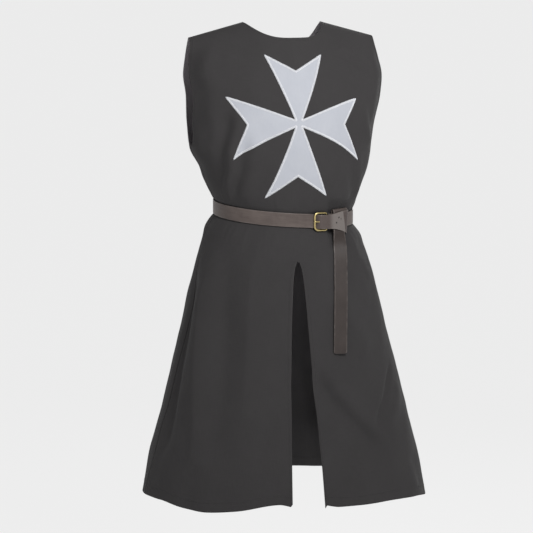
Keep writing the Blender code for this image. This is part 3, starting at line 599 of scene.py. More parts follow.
def vertexNormals(points, quads):
    # outward normals from the quads of a grid
    a, b, c, d = (points[quads[:, k]] for k in range(4))
    face = np.cross(c - a, d - b)
    total = np.zeros_like(points)
    for k in range(4):
        np.add.at(total, quads[:, k], face)
    return total / np.maximum(np.linalg.norm(total, axis=1), 1e-12)[:, None]


def clothPanel(name, side, slit, paint, nodes):
    grid, middle, openRows = panelGrid(side, slit)
    grid = grid + np.array([0.0, 0.0, formLift])
    rows, columns = grid.shape[:2]
    number = np.arange(rows * columns).reshape(rows, columns)
    if slit:
        number[openRows:, middle + 1] = number[openRows:, middle]
    quads = []
    for i in range(rows - 1):
        for j in range(columns - 1):
            if slit and j == middle:
                continue
            quads.append((number[i, j], number[i, j + 1], number[i + 1, j + 1], number[i + 1, j]))
    quads = np.array(quads)
    if side > 0:
        quads = quads[:, ::-1]
    points = grid.reshape(-1, 3)
    normals = vertexNormals(points, quads)
    seamEdge = np.zeros((rows, columns), bool)
    seamEdge[:len(rowLevels()), (0, -1)] = True
    topRow = np.abs(grid[-1, :, 0]) >= form["neckHalf"] - 1e-4
    seamEdge[-1, topRow] = True
    flatEdge = number[seamEdge]
    normals[flatEdge, 1] = 0.0
    normals[flatEdge] /= np.maximum(np.linalg.norm(normals[flatEdge], axis=1), 1e-9)[:, None]
    # distances for the shader: across and up the cloth, and away from its turned edges
    across = spans(grid, 1)
    if slit:
        across[:openRows] -= across[:openRows, middle:middle + 1]
        across[:openRows, middle + 1:] -= across[:openRows, middle + 1:middle + 2]
        across[openRows:] -= across[openRows:, middle:middle + 1]
    else:
        across -= across[:, middle:middle + 1]
    along = spans(grid, 0)
    neckAway = np.where(topRow[None, :], 1.0, along[-1:] - along)
    rowGone = spans(grid, 1)
    armAway = np.minimum(rowGone, rowGone[:, -1:] - rowGone)
    seamAway = np.where(np.arange(rows)[:, None] < len(rowLevels()), armAway, 1.0)
    seamAway = np.minimum(seamAway, np.where(topRow[None, :], along[-1:] - along, 1.0))
    armAway[:len(rowLevels()) - 1] = 1.0
    slitAway = np.ones_like(along)
    if slit:
        slitAway[:openRows] = np.abs(across[:openRows])
    narrowAway = np.minimum(slitAway, np.minimum(neckAway, armAway))
    lay = np.stack([across, grid[:, :, 2], np.zeros_like(across)], -1).reshape(-1, 3)
    rims = np.stack([along, narrowAway, seamAway], -1).reshape(-1, 3)
    used = np.zeros(len(points), bool)
    used[quads.ravel()] = True
    index = np.cumsum(used) - 1
    quads = index[quads]
    points, normals, lay, rims = points[used], normals[used], lay[used], rims[used]
    inner = points - normals * form["wall"]
    faces = shellFaces(quads.tolist(), len(points))
    inside = lay + np.array([0.0, 0.0, 1.0])
    thing = meshOf(name, np.concatenate([points, inner]), faces, paint,
                   {"lay": np.concatenate([lay, inside]), "rims": np.concatenate([rims, rims])})
    finishPiece(thing, nodes)
    area = 0.5 * np.linalg.norm(np.cross(points[quads[:, 2]] - points[quads[:, 0]],
                                         points[quads[:, 3]] - points[quads[:, 1]]), axis=1).sum()
    print(f"{name}: {len(faces) * 2} triangles, {area:.3f} square metres")
    tree = BVHTree.FromPolygons([Vector(p) for p in points], quads.tolist())
    return thing, grid, middle, openRows, tree


# cloth of the tunic

clothLook = {
    "dark": (0.0350, 0.0330, 0.0338, 1.0), "light": (0.0470, 0.0448, 0.0455, 1.0),
    "worn": (0.0700, 0.0670, 0.0670, 1.0), "crease": (0.0200, 0.0190, 0.0195, 1.0),
    "through": (0.3100, 0.2930, 0.3080, 1.0),      # stands in for light that comes through thin cloth
    # the share of it on the inside, from the hem up over the tunic's length
    "long": 1.10, "throughStops": ((0.05, 0.0), (0.18, 0.03), (0.345, 0.19), (0.49, 0.46), (0.73, 1.0)),
    "threadPitch": 0.00062, "slubWide": 0.0011, "slubLong": 0.022,
    "hemFold": 0.022, "narrowFold": 0.0085,
    "wornEase": (0.0006, 0.0026), "wornShare": 0.5, "seamEase": (0.0004, 0.0022), "seamShare": 0.8,
    "foldRise": 0.0004, "puckerRise": 0.0009, "weaveRise": 0.00006, "slubRise": 0.00020,
    "seamSink": 0.0012, "sinkHalf": 0.0035,
}


def clothPaint():
    paint = Paint("blackCloth", {"Sheen Weight": 0.05, "Sheen Roughness": 0.45,
                                 "Specular IOR Level": 0.12})
    lay, rims = paint.place(), paint.place("rims")
    u, v, inner = (paint.part(lay, axis) for axis in ("X", "Y", "Z"))
    hem, narrow, seam = (paint.part(rims, axis) for axis in ("X", "Y", "Z"))

    def within(value, near, far):
        # 1 where the value is below near, easing to 0 at far
        return paint.eased(value, near, far, 1.0, 0.0)

    pitch = clothLook["threadPitch"]
    weave = paint.wave(u * (math.pi / pitch)) * paint.wave(v * (math.pi / pitch))
    flat = paint.node("ShaderNodeCombineXYZ", None, {"X": u, "Y": v})
    wide, long = 1 / clothLook["slubWide"], 1 / clothLook["slubLong"]
    slub = (paint.noise(paint.scaled(flat, (wide, long, 1.0)), 1.0, 3.0) * 0.5
            + paint.noise(paint.scaled(flat, (long, wide, 1.0)), 1.0, 3.0) * 0.5)
    cloud = paint.noise(flat, 7.0, 4.0, 0.55)
    tone = paint.ramp(slub * 0.65 + cloud * 0.35, ((0.30, 0.0), (0.72, 1.0)))
    body = paint.mixed(tone, clothLook["dark"], clothLook["light"])
    ragged = paint.noise(flat, 300.0, 2.0) * 0.0012
    for edge in (hem, narrow):
        worn = within(edge + ragged, *clothLook["wornEase"]) * clothLook["wornShare"]
        body = paint.mixed(worn, body, clothLook["worn"])
    body = paint.mixed(within(seam, *clothLook["seamEase"]) * clothLook["seamShare"],
                       body, clothLook["crease"])
    depth = paint.ramp((v + clothLook["long"]) / clothLook["long"], clothLook["throughStops"])
    paint.feed("Base Color", paint.mixed(inner * depth, body, clothLook["through"]))
    wide, slim = clothLook["hemFold"], clothLook["narrowFold"]
    turnedIn = within(hem, wide - 0.001, wide + 0.002) + within(narrow, slim - 0.001, slim + 0.0015)
    pucker = paint.noise(flat, 95.0, 2.0)
    puckered = within(hem, wide * 0.5, wide * 1.9) + within(narrow, slim * 0.5, slim * 2.6)
    puckered = puckered + within(seam, 0.003, 0.014)
    height = turnedIn * clothLook["foldRise"] + pucker * puckered * clothLook["puckerRise"]
    height = height + weave * clothLook["weaveRise"] + slub * clothLook["slubRise"]
    height = height - within(seam, 0.0, clothLook["sinkHalf"]) * clothLook["seamSink"]
    paint.feed("Normal", paint.bumped(height, 1.0, 0.9))
    paint.feed("Roughness", 0.86 + slub * 0.10)
    return paint


clothTone = clothPaint()
front, frontGrid, frontMiddle, frontOpenRows, frontTree = clothPanel(
    "tunicFront", -1, True, clothTone, ["front_panel"])
back, backGrid, backMiddle, backOpenRows, backTree = clothPanel(
    "tunicBack", 1, False, clothTone, ["back_panel"])
print("cloth panels made")


# stitches

def threadRow(name, rows, paint, sides=5):
    # many short threads as one mesh; each row is a list of (point, sideways, up, half thickness)
    points, faces, lay = [], [], []
    for row in rows:
        faces += tubeFaces(len(row), sides, len(points))
        gone = 0.0
        for k, (point, sideways, up, half) in enumerate(row):
            if k:
                gone += (point - row[k - 1][0]).length
            for s in reversed(range(sides)):
                a = 2 * math.pi * s / sides
                points.append(point + sideways * math.cos(a) * half + up * math.sin(a) * half)
                lay.append((gone, a * half, 0.0))
    return meshOf(name, points, faces, paint, {"lay": lay})


# rows of short stitches that hold the turned edges
stitch = {"pitch": 0.0031, "long": 0.0023, "half": 0.00026, "rise": 0.00018,
          "hemUp": 0.0200, "edgeIn": 0.0068}

blackThread = {"tones": ((0.016, 0.015, 0.016, 1.0), (0.032, 0.030, 0.032, 1.0)),      # deep and light
               "sheen": 0.1, "shine": 0.35, "rough": 0.50, "roughSpan": 0.15, "patches": 500.0,
               "twist": 0.0005, "slope": 3000.0, "depth": 0.00003}


def lineAt(points, gone, distance):
    # place a given distance along a run of points
    return np.array([np.interp(distance, gone, points[:, k]) for k in range(3)])


def stitchRun(tree, spots):
    # stitches along a line that lies on the cloth
    gone = np.concatenate([[0.0], np.cumsum(np.linalg.norm(np.diff(spots, axis=0), axis=1))])
    rows = []
    for k in range(int(gone[-1] / stitch["pitch"])):
        start = (k + 0.5) * stitch["pitch"] - stitch["long"] / 2
        made = []
        for share in (0.0, 0.25, 0.75, 1.0):
            place = Vector(lineAt(spots, gone, start + stitch["long"] * share))
            foot, normal, index, far = tree.find_nearest(place)
            rise = stitch["rise"] if 0 < share < 1 else -stitch["rise"]
            made.append((foot + normal * rise, normal))
        ahead = (made[-1][0] - made[0][0]).normalized()
        rows.append([(point, ahead.cross(normal).normalized(), normal, stitch["half"])
                     for point, normal in made])
    return rows


def panelStitches(name, grid, middle, openRows, tree, paint):
    rows = []
    gone = spans(grid, 0)
    sides = [range(middle + 1), range(middle + 1, grid.shape[1])] if openRows else [range(grid.shape[1])]
    for columns in sides:
        hem = [lineAt(grid[:, j], gone[:, j], stitch["hemUp"]) for j in columns]
        rows += stitchRun(tree, np.array(hem))
    if openRows:
        for columns in (slice(middle, None, -1), slice(middle + 1, None)):
            edge = []
            for i in range(openRows + 1):
                run = grid[i, columns]
                edge.append(lineAt(run, spans(run[None], 1)[0], stitch["edgeIn"]))
            rows += stitchRun(tree, np.array(edge))
    neck = [lineAt(grid[::-1, j], gone[-1, j] - gone[::-1, j], stitch["edgeIn"])
            for j in range(grid.shape[1]) if abs(grid[-1, j, 0]) < form["neckHalf"] - stitch["edgeIn"]]
    rows += stitchRun(tree, np.array(neck))
    for way in (1, -1):
        edge = []
        for i in range(len(rowLevels()), grid.shape[0]):
            run = grid[i, ::way]
            edge.append(lineAt(run, spans(run[None], 1)[0], stitch["edgeIn"]))
        rows += stitchRun(tree, np.array(edge))
    print(f"{name}: {len(rows)} stitches")
    return finishPiece(threadRow(name, rows, paint))


def threadPaint(name, look):
    # twisted thread
    paint = Paint(name, {"Sheen Weight": look["sheen"], "Specular IOR Level": look["shine"]})
    lay = paint.place()
    run, turn = paint.part(lay, "X"), paint.part(lay, "Y")
    twist = paint.wave(run * (2 * math.pi / look["twist"]) + turn * look["slope"])
    cloud = paint.noise(lay, look["patches"], 2.0)
    paint.feed("Base Color", paint.mixed(paint.ramp(cloud, ((0.3, 0.0), (0.7, 1.0))), *look["tones"]))
    paint.feed("Roughness", look["rough"] + cloud * look["roughSpan"])
    paint.feed("Normal", paint.bumped(twist, look["depth"], 0.6))
    return paint


threadTone = threadPaint("blackThread", blackThread)
panelStitches("frontStitches", frontGrid, frontMiddle, frontOpenRows, frontTree, threadTone)
panelStitches("backStitches", backGrid, backMiddle, backOpenRows, backTree, threadTone)
print("stitches made")


# cross on the chest

cross = {
    "middle": -0.2237, "up": 0.1480, "down": 0.1655, "side": 0.1580, "tipHalf": 0.0655,
    "notches": (0.73, 0.76, 0.74, 0.715), "waist": 0.0082,      # wearer's left, top, right, bottom
    "roundRight": 2.5, "roundLeft": 4.0, "droopRight": 0.0100, "droopLeft": 0.0165, "footLean": 0.0030,
    "stepsOut": 46, "stepsAcross": 26, "thick": 0.0008, "clear": 0.0005,
    "threadPitch": 0.00088, "threadHalf": 0.00052,
    "bandOut": 0.0008, "bandIn": 0.0042, "bandRise": 0.0012,
    "blunt": 0.0032, "bluntRoom": 1.3, "tipRoom": 0.0018, "tipWiden": 0.36, "slant": 0.0004,
    "near": 0.0022,      # how far round a spot the cloth below is averaged
    "fill": (0.393, 0.408, 0.451, 1.0), "fillLight": (0.428, 0.441, 0.479, 1.0), "weave": 0.0005,
    "jitterOut": 0.0003, "jitterIn": 0.0004,
}

whiteThread = {"tones": ((0.570, 0.580, 0.610, 1.0), (0.640, 0.648, 0.672, 1.0)),
               "sheen": 0.2, "shine": 0.5, "rough": 0.42, "roughSpan": 0.12, "patches": 300.0,
               "twist": 0.0006, "slope": 2500.0, "depth": 0.00004}

# hand cut: how far each arm's first and last tip lie from an even cross, across and up,
# going round the cross from below the wearer's left arm
tipShift = (
    (0.0020, -0.0010, -0.0010, 0.0056),      # wearer's left arm
    (0.0016, 0.0004, -0.0010, 0.0016),       # top arm
    (-0.0072, 0.0072, 0.0046, -0.0002),      # wearer's right arm
    (-0.0074, 0.0020, 0.0054, 0.0044),       # bottom arm
)


def frontAt(x, z):
    # the front's outer face below a place, taken as a mean of nearby spots so that it is smooth
    near = cross["near"]
    total = Vector((0, 0, 0))
    facing = Vector((0, 0, 0))
    for dx, dz in ((0, 0), (near, 0), (-near, 0), (0, near), (0, -near)):
        spot, normal, index, far = frontTree.ray_cast(Vector((x + dx, -1.0, z + dz)), Vector((0, 1, 0)))
        if spot is None:
            continue
        total += Vector((x, spot.y, z)) / 5
        facing += normal
    return total, facing.normalized()


def layCross(p, q):
    # flat place on the cross to a place on the chest
    if abs(p) >= abs(q):
        arm, out, over = (0, p, q) if p > 0 else (2, -p, -q)
    else:
        arm, out, over = (1, q, -p) if q > 0 else (3, -q, p)
    reach = out / cross["side"]
    lean = min(max(over / (cross["tipHalf"] * max(reach, 0.2)), -1.0), 1.0)
    firstX, firstZ, lastX, lastZ = tipShift[arm]
    firstShare, lastShare = (1 - lean) / 2 * reach ** 2, (1 + lean) / 2 * reach ** 2
    up = cross["up"] if q > 0 else cross["down"]
    x = p * (1 - (cross["roundLeft"] if p > 0 else cross["roundRight"]) * p * p)
    if q < 0:
        x -= cross["footLean"] * (q / cross["side"]) ** 2
    droop = cross["droopLeft"] if p > 0 else cross["droopRight"]
    z = cross["middle"] + q * up / cross["side"] - droop * (abs(p) / cross["side"]) ** 3
    x += firstX * firstShare + lastX * lastShare
    z += firstZ * firstShare + lastZ * lastShare
    return x, z + formLift


def turned(p, q, quarter):
    c, s = round(math.cos(quarter)), round(math.sin(quarter))
    return p * c - q * s, p * s + q * c


def crossCloth(paint):
    out, wide = cross["stepsOut"], cross["stepsAcross"]
    number, flats = {}, []

    def indexOf(spot):
        key = (round(spot[0], 6), round(spot[1], 6))
        if key not in number:
            number[key] = len(flats)
            flats.append(spot)
        return number[key]

    faces = []
    for arm in range(4):
        quarter = math.pi / 2 * arm
        ids = []
        for i in range(out + 1):
            line = []
            for j in range(wide + 1):
                w = 2 * j / wide - 1
                near = cross["waist"] / cross["side"]
                far = cross["notches"][arm] + (1 - cross["notches"][arm]) * abs(w)
                p = (near + (far - near) * i / out) * cross["side"]
                q = w * (cross["waist"] + (cross["tipHalf"] - cross["waist"]) * i / out)
                line.append(indexOf(turned(p, q, quarter)))
            ids.append(line)
        for i in range(out):
            for j in range(wide):
                faces.append((ids[i][j], ids[i + 1][j], ids[i + 1][j + 1], ids[i][j + 1]))
    step = 2 * cross["waist"] / wide
    for i in range(wide):
        for j in range(wide):
            faces.append(tuple(indexOf((a * step - cross["waist"], b * step - cross["waist"]))
                               for a, b in ((i, j), (i + 1, j), (i + 1, j + 1), (i, j + 1))))
    placed = np.array([[tuple(v) for v in frontAt(*layCross(*spot))] for spot in flats])
    points, normals = placed[:, 0], placed[:, 1]
    base = points + normals * cross["clear"]
    top = base + normals * cross["thick"]
    flat = np.array([(p, q, 0.0) for p, q in flats])
    return meshOf("crossCloth", np.concatenate([top, base]), shellFaces(faces, len(points)), paint,
                  {"lay": np.concatenate([flat, flat])})


def crossOutline():
    # places round the cross's edge with the inward direction and how deep a stitch may go there
    corners = []
    for arm in range(4):
        quarter = math.pi / 2 * arm
        notch = cross["notches"][arm] * cross["side"]
        shape = ((cross["waist"], -cross["waist"], 0), (cross["side"], -cross["tipHalf"], 1),
                 (notch, 0.0, 0), (cross["side"], cross["tipHalf"], 1))
        corners += [(*turned(p, q, quarter), tip) for p, q, tip in shape]
    count = len(corners)
    # tips are cut blunt
    outline = []
    for k in range(count):
        x, y, tip = corners[k]
        if not tip:
            outline.append((x, y, 0))
            continue
        for ox, oy, _ in (corners[k - 1], corners[(k + 1) % count]):
            length = math.dist((x, y), (ox, oy))
            outline.append((x + (ox - x) / length * cross["blunt"],
                            y + (oy - y) / length * cross["blunt"], 1))
    stations = []
    count = len(outline)
    deep = cross["bandIn"]
    for k in range(count):
        ax, ay, aTip = outline[k]
        bx, by, bTip = outline[(k + 1) % count]
        cx, cy, cTip = outline[(k + 2) % count]
        length = math.dist((ax, ay), (bx, by))
        ux, uy = (bx - ax) / length, (by - ay) / length
        steps = max(2, round(length / cross["threadPitch"]))
        blunt = aTip and bTip
        for i in range(steps):
            t = (i + 0.5) / steps * length
            room = deep
            if blunt:
                room = deep * cross["bluntRoom"]
            elif aTip or bTip:
                room = min(deep, cross["tipRoom"] + (t if aTip else length - t) * cross["tipWiden"])
            stations.append((ax + ux * t, ay + uy * t, -uy, ux, room))
        if not bTip:
            nextLength = math.dist((bx, by), (cx, cy))
            vx, vy = (cx - bx) / nextLength, (cy - by) / nextLength
            first = math.atan2(ux, -uy)
            sweep = math.atan2(ux * vy - uy * vx, ux * vx + uy * vy)
            fan = max(2, round(abs(sweep) * deep / cross["threadPitch"]))
            for i in range(1, fan):
                a = first + sweep * i / fan
                stations.append((bx, by, math.cos(a), math.sin(a), deep))
    return stations


def crossBorder(paint):
    rows = []
    marks = random.Random(5)
    for px, py, nx, ny, room in crossOutline():
        row = []
        outer = -cross["bandOut"] + marks.uniform(-cross["jitterOut"], cross["jitterOut"])
        inner = room + marks.uniform(-cross["jitterIn"], cross["jitterIn"])
        for k in range(6):
            t = k / 5
            depth = outer + (inner - outer) * t
            p = px + nx * depth - ny * cross["slant"] * (t - 0.5)
            q = py + ny * depth + nx * cross["slant"] * (t - 0.5)
            spot, normal = frontAt(*layCross(p, q))
            rise = cross["bandRise"] * math.sin(math.pi * min(max(t, 0.04), 0.96)) ** 0.6
            rise += cross["clear"] * (0.3 if t == 0 else 1.0)
            row.append((spot + normal * rise, normal))
        made = []
        for k, (point, normal) in enumerate(row):
            ahead = row[min(k + 1, 5)][0] - row[max(k - 1, 0)][0]
            sideways = ahead.cross(normal).normalized()
            made.append((point, sideways, normal, cross["threadHalf"]))
        rows.append(made)
    return threadRow("crossBorder", rows, paint)


def crossFillPaint():
    paint = Paint("paleCloth", {"Sheen Weight": 0.1, "Sheen Roughness": 0.4, "Specular IOR Level": 0.3})
    lay = paint.place()
    u, v = paint.part(lay, "X"), paint.part(lay, "Y")
    pitch = cross["weave"]
    weave = paint.wave(u * (math.pi / pitch)) * paint.wave(v * (math.pi / pitch))
    cloud = paint.noise(lay, 24.0, 3.0)
    slub = paint.noise(paint.scaled(lay, (900.0, 60.0, 1.0)), 1.0, 2.0)
    tone = paint.ramp(cloud * 0.6 + slub * 0.4, ((0.3, 0.0), (0.72, 1.0)))
    paint.feed("Base Color", paint.mixed(tone, cross["fill"], cross["fillLight"]))
    paint.feed("Roughness", 0.70 + slub * 0.15)
    ripple = paint.noise(lay, 60.0, 2.0)
    paint.feed("Normal", paint.bumped(weave * 0.00004 + slub * 0.00010 + ripple * 0.0009, 1.0, 0.8))
    return paint


crossPiece = crossCloth(crossFillPaint())
finishPiece(crossPiece, ["cross_applique"])
borderPiece = crossBorder(threadPaint("whiteThread", whiteThread))
finishPiece(borderPiece)
print("cross made")


# leather belt

def beltPlan(angle):
    # point and outward direction in plan where the belt lies on the cloth
    level = belt["level"]
    a, power, centre = float(halfWidth(level)), float(squareness(level)), float(shift(level))
    turn = math.radians(angle)
    depth = float((frontDepth if math.cos(turn) > 0 else backDepth)(level))
    share = abs(math.sin(turn))
    x = centre + a * math.sin(turn)
    y = -math.copysign(depth * max(0.0, 1 - share ** power) ** (1 / power), math.cos(turn))
    gx = math.copysign(share ** (power - 1) / a, math.sin(turn))
    gy = math.copysign((abs(y) / depth) ** (power - 1) / depth, y)
    size = math.hypot(gx, gy) or 1.0
    return Vector((x, y, 0)), Vector((gx / size, gy / size, 0))


def angleAt(x):
    level = belt["level"]
    return math.degrees(math.asin((x - float(shift(level))) / float(halfWidth(level))))


def onBelt(x, out, up):
    angle = angleAt(x)
    point, away = beltPlan(angle)
    height = belt["level"] + float(beltShift(angle)) + up + formLift
    return Vector((point.x, point.y, height)) + away * out


def bendTurns(steps):
    # angles from nothing to a right angle
    return [math.pi / 2 * k / steps for k in range(steps + 1)]


def strapProfile():
    # (up, out) points round the strap's section, corners rounded over, front face first
    w, t, r = belt["width"] / 2, belt["thick"] / 2, belt["round"]
    turns = bendTurns(4)[1:-1]
    half = [(2 * (w - r) * k / belt["cuts"] - (w - r), t) for k in range(belt["cuts"] + 1)]
    half += [(w - r + r * math.sin(a), t - r + r * math.cos(a)) for a in turns]
    half += [(w, t - r), (w, r - t)]
    half += [(w - r + r * math.cos(a), r - t - r * math.sin(a)) for a in turns]
    return half + [(-up, -out) for up, out in half]


def strapMesh(name, stations, paint, profile):
    # strap through stations of (middle, up direction, out direction, width factor)
    points, lay = [], []
    gone = 0.0
    for i, (middle, up, out, stretch) in enumerate(stations):
        if i:
            gone += (middle - stations[i - 1][0]).length
        for a, b in profile:
            points.append(middle + up * a * stretch + out * b)
            lay.append((gone, a, b))
    return meshOf(name, points, tubeFaces(len(stations), len(profile)), paint, {"lay": lay})


def lengthOf(stations):
    return sum((b[0] - a[0]).length for a, b in zip(stations[:-1], stations[1:]))


def sameSide(stations):
    # turns the out directions that flip, so that the outward side stays the same all along
    made = [stations[0]]
    for middle, up, out, stretch in stations[1:]:
        made.append((middle, up, -out if out.dot(made[-1][2]) < 0 else out, stretch))
    return made


# free run of the strap past the buckle: along the front, out from the cloth,
# lower edge, upper edge, how far the upper edge leads the lower one
freeRows = (
    (0.0300, 0.0018, -0.0158, 0.0152, 0.0), (0.0390, 0.0018, -0.0166, 0.0144, 0.0),
    (0.0425, 0.0024, -0.0168, 0.0142, 0.0), (0.0455, 0.0050, -0.0170, 0.0140, 0.0),
    (0.0500, 0.0092, -0.0172, 0.0138, 0.0), (0.0550, 0.0106, -0.0172, 0.0138, 0.0),
    (0.0640, 0.0108, -0.0172, 0.0138, 0.0), (0.0700, 0.0106, -0.0172, 0.0140, 0.0),
    (0.0770, 0.0102, -0.0174, 0.0148, 0.0), (0.0850, 0.0098, -0.0182, 0.0164, 0.0),
    (0.0960, 0.0096, -0.0206, 0.0190, 0.0005), (0.1080, 0.0093, -0.0248, 0.0214, 0.0016),
    (0.1160, 0.0088, -0.0282, 0.0222, 0.0030), (0.1196, 0.0078, -0.0300, 0.0220, 0.0044),
    (0.1212, 0.0064, -0.0296, 0.0212, 0.0050), (0.1208, 0.0051, -0.0280, 0.0200, 0.0050),
)

leatherLook = {
    "strap": ((0.060, 0.044, 0.039, 1.0), (0.112, 0.089, 0.080, 1.0)),      # deep and light
    "tail": ((0.0240, 0.0170, 0.0148, 1.0), (0.0385, 0.0282, 0.0250, 1.0)),
    "rubbed": (0.150, 0.128, 0.118, 1.0), "edge": (0.024, 0.018, 0.016, 1.0),
    # painted shade on the strap inside the buckle, and painted light where the free strap bends out
    "windowShade": (0.062, 0.046, 0.042, 1.0), "bendLight": (0.162, 0.143, 0.134, 1.0),
    # painted shade where the strap's end turns behind, and painted light on the tail where it goes over
    # the belt's top
    "turned": (0.046, 0.030, 0.027, 1.0), "loopLight": (0.084, 0.066, 0.060, 1.0),
    # painted shade inside the punched holes
    "hole": (0.008, 0.006, 0.005, 1.0),
}


# marks along the strap, from the buckle on
strapMarks = {
    # punched holes, with painted shade in them: along, up and share
    "holes": ((0.0665, -0.0030, 1.0), (0.0735, 0.0062, 0.9), (0.0805, 0.0035, 0.5)),
    # painted shade inside the buckle and painted light where the strap bends out: start, end, tone and
    # share
    "zones": ((0.008, 0.018, "windowShade", 0.7), (0.044, 0.060, "bendLight", 0.85)),
    # painted shade where the strap's end turns behind: start and end back from the strap's end, slant and
    # share
    "turned": (0.0190, 0.0160, 0.37, 0.9),
}


def leatherPaint(name, tones, holes, zones):
    # holes are (along, up, share) on the strap in its own lay, painted dark for the shade in them;
    # zones of painted light and shade take over from one place on: start, end of the change, slant, tone
    # and share
    paint = Paint(name, {"Specular IOR Level": 0.38, "Coat Roughness": 0.35})
    lay = paint.place()
    u, v, w = (paint.part(lay, axis) for axis in ("X", "Y", "Z"))
    grain = paint.node("ShaderNodeTexVoronoi", {"feature": "DISTANCE_TO_EDGE"},
                       {"Vector": lay, "Scale": 620.0, "Randomness": 1.0})
    pebble = paint.ramp(grain, ((0.0, 0.0), (0.16, 1.0)))
    cloud = paint.noise(lay, 26.0, 4.0, 0.6)
    streak = paint.noise(paint.scaled(lay, (30.0, 420.0, 420.0)), 1.0, 3.0)
    tone = paint.ramp(cloud * 0.7 + streak * 0.3, ((0.30, 0.0), (0.70, 1.0)))
    body = paint.mixed(tone, *tones)
    # painted light and shade, zone by zone along the strap
    for start, end, slant, shade, share in zones:
        reached = paint.eased(u + v * slant + (cloud - 0.5) * 0.004, start, end, 0.0, share)
        body = paint.mixed(reached, body, shade)
    ridge = paint.eased(paint.size(v), 0.0122, 0.0150)
    rub = ridge * paint.ramp(paint.noise(lay, 70.0, 3.0), ((0.35, 0.0), (0.65, 1.0)))
    body = paint.mixed(rub * 0.55, body, leatherLook["rubbed"])
    cut = paint.node("ShaderNodeMapRange", {"clamp": True},
                     {0: paint.size(w), 1: 0.0004, 2: 0.0009, 3: 1.0, 4: 0.0})
    body = paint.mixed(cut * 0.85, body, leatherLook["edge"])
    height = pebble * 0.00005 + cloud * 0.0003 + streak * 0.00006
    # each punched hole is a dark disc of painted shade and a dip in the bump
    for hu, hv, share in holes:
        away = paint.node("ShaderNodeVectorMath", {"operation": "DISTANCE"}, {0: lay, 1: (hu, hv, 0.0015)},
                          output="Value")
        hole = paint.eased(away, 0.0013, 0.0021, share, 0.0)
        body = paint.mixed(hole, body, leatherLook["hole"])
        height = height - hole * 0.0012
    paint.feed("Base Color", body)
    paint.feed("Roughness", 0.40 + cloud * 0.16 + pebble * 0.04)
    paint.feed("Coat Weight", 0.10 + ridge * 0.10)
    paint.feed("Normal", paint.bumped(height, 1.0, 0.8))
    return paint


def ringStations():
    # the strap round the waist, from under the tail back to the buckle
    start = angleAt(belt["startPlace"])
    end = angleAt(freeRows[0][0]) + 360.0
    middleOut = belt["gap"] + belt["thick"] / 2
    stations = []
    for k in range(belt["stations"] + 1):
        angle = start + (end - start) * k / belt["stations"]
        point, away = beltPlan((angle + 180.0) % 360.0 - 180.0)
        height = belt["level"] + float(beltShift(angle)) + formLift
        stations.append((Vector((point.x, point.y, height)) + away * middleOut, away))
    return stations


def framed(stations):
    # adds up and out directions that stay square to the strap's run
    made = []
    for i, (middle, away, low, high) in enumerate(stations):
        ahead = stations[min(i + 1, len(stations) - 1)][0] - stations[max(i - 1, 0)][0]
        up = (high - low).normalized()
        out = ahead.cross(up).normalized()
        if out.dot(away) < 0 and abs(out.dot(away)) > 0.2:
            out = -out
        made.append((middle, up, out, (high - low).length / belt["width"]))
    return made


def freeStations():
    placeAt = [smoothLine([(k, *row) for k, row in enumerate(freeRows)], c) for c in range(1, 6)]
    stations = []
    for k in range(1, belt["freeStations"] + 1):
        s = (len(freeRows) - 1) * k / belt["freeStations"]
        x, out, low, high, lead = (float(line(s)) for line in placeAt)
        bottom, top = onBelt(x - lead / 2, out, low), onBelt(x + lead / 2, out, high)
        away = beltPlan(angleAt(x))[1]
        stations.append(((bottom + top) / 2, away, bottom, top))
    return stations


def buildStrap():
    half = Vector((0, 0, belt["width"] / 2))
    stations = [(m, away, m - half, m + half) for m, away in ringStations()]
    stations += freeStations()
    whole = sameSide(framed(stations))
    gone, ringLength = lengthOf(whole), lengthOf(whole[:belt["stations"] + 1])
    print(f"strap: {gone:.3f} m, ring {ringLength:.3f} m")
    holes = [(ringLength + along, up, share) for along, up, share in strapMarks["holes"]]
    # painted shade inside the buckle and painted light where the strap bends out
    zones = [(ringLength + start, ringLength + end, 0.0, leatherLook[tone], share)
             for start, end, tone, share in strapMarks["zones"]]
    # painted shade near the strap's end, where it turns behind
    start, end, slant, share = strapMarks["turned"]
    zones.append((gone - start, gone - end, slant, leatherLook["turned"], share))
    paint = leatherPaint("strapLeather", leatherLook["strap"], holes, zones)
    return strapMesh("beltStrap", whole, paint, strapProfile()[::-1])


strapPiece = buildStrap()
finishPiece(strapPiece, ["belt_strap"])
print("strap made")


# tail of the strap

tail = {
    "centre": 0.1020, "end": -0.7290, "lean": -0.0155, "clear": 0.0012, "endRound": 0.007,
    "follow": 0.10,      # share of the cloth's own slope that the tail takes
    "crest": 0.0042, "flare": 0.0060, "flareBack": 0.3, "flareUp": 0.25,      # shares of the flare
    "rows": 60, "blend": 0.16,      # rows of the hanging part, and the share of it that bends into line
}


def evened(values, reach=4):
    # running mean
    kernel = np.ones(2 * reach + 1) / (2 * reach + 1)
    return np.convolve(np.pad(values, reach, mode="edge"), kernel, "valid")


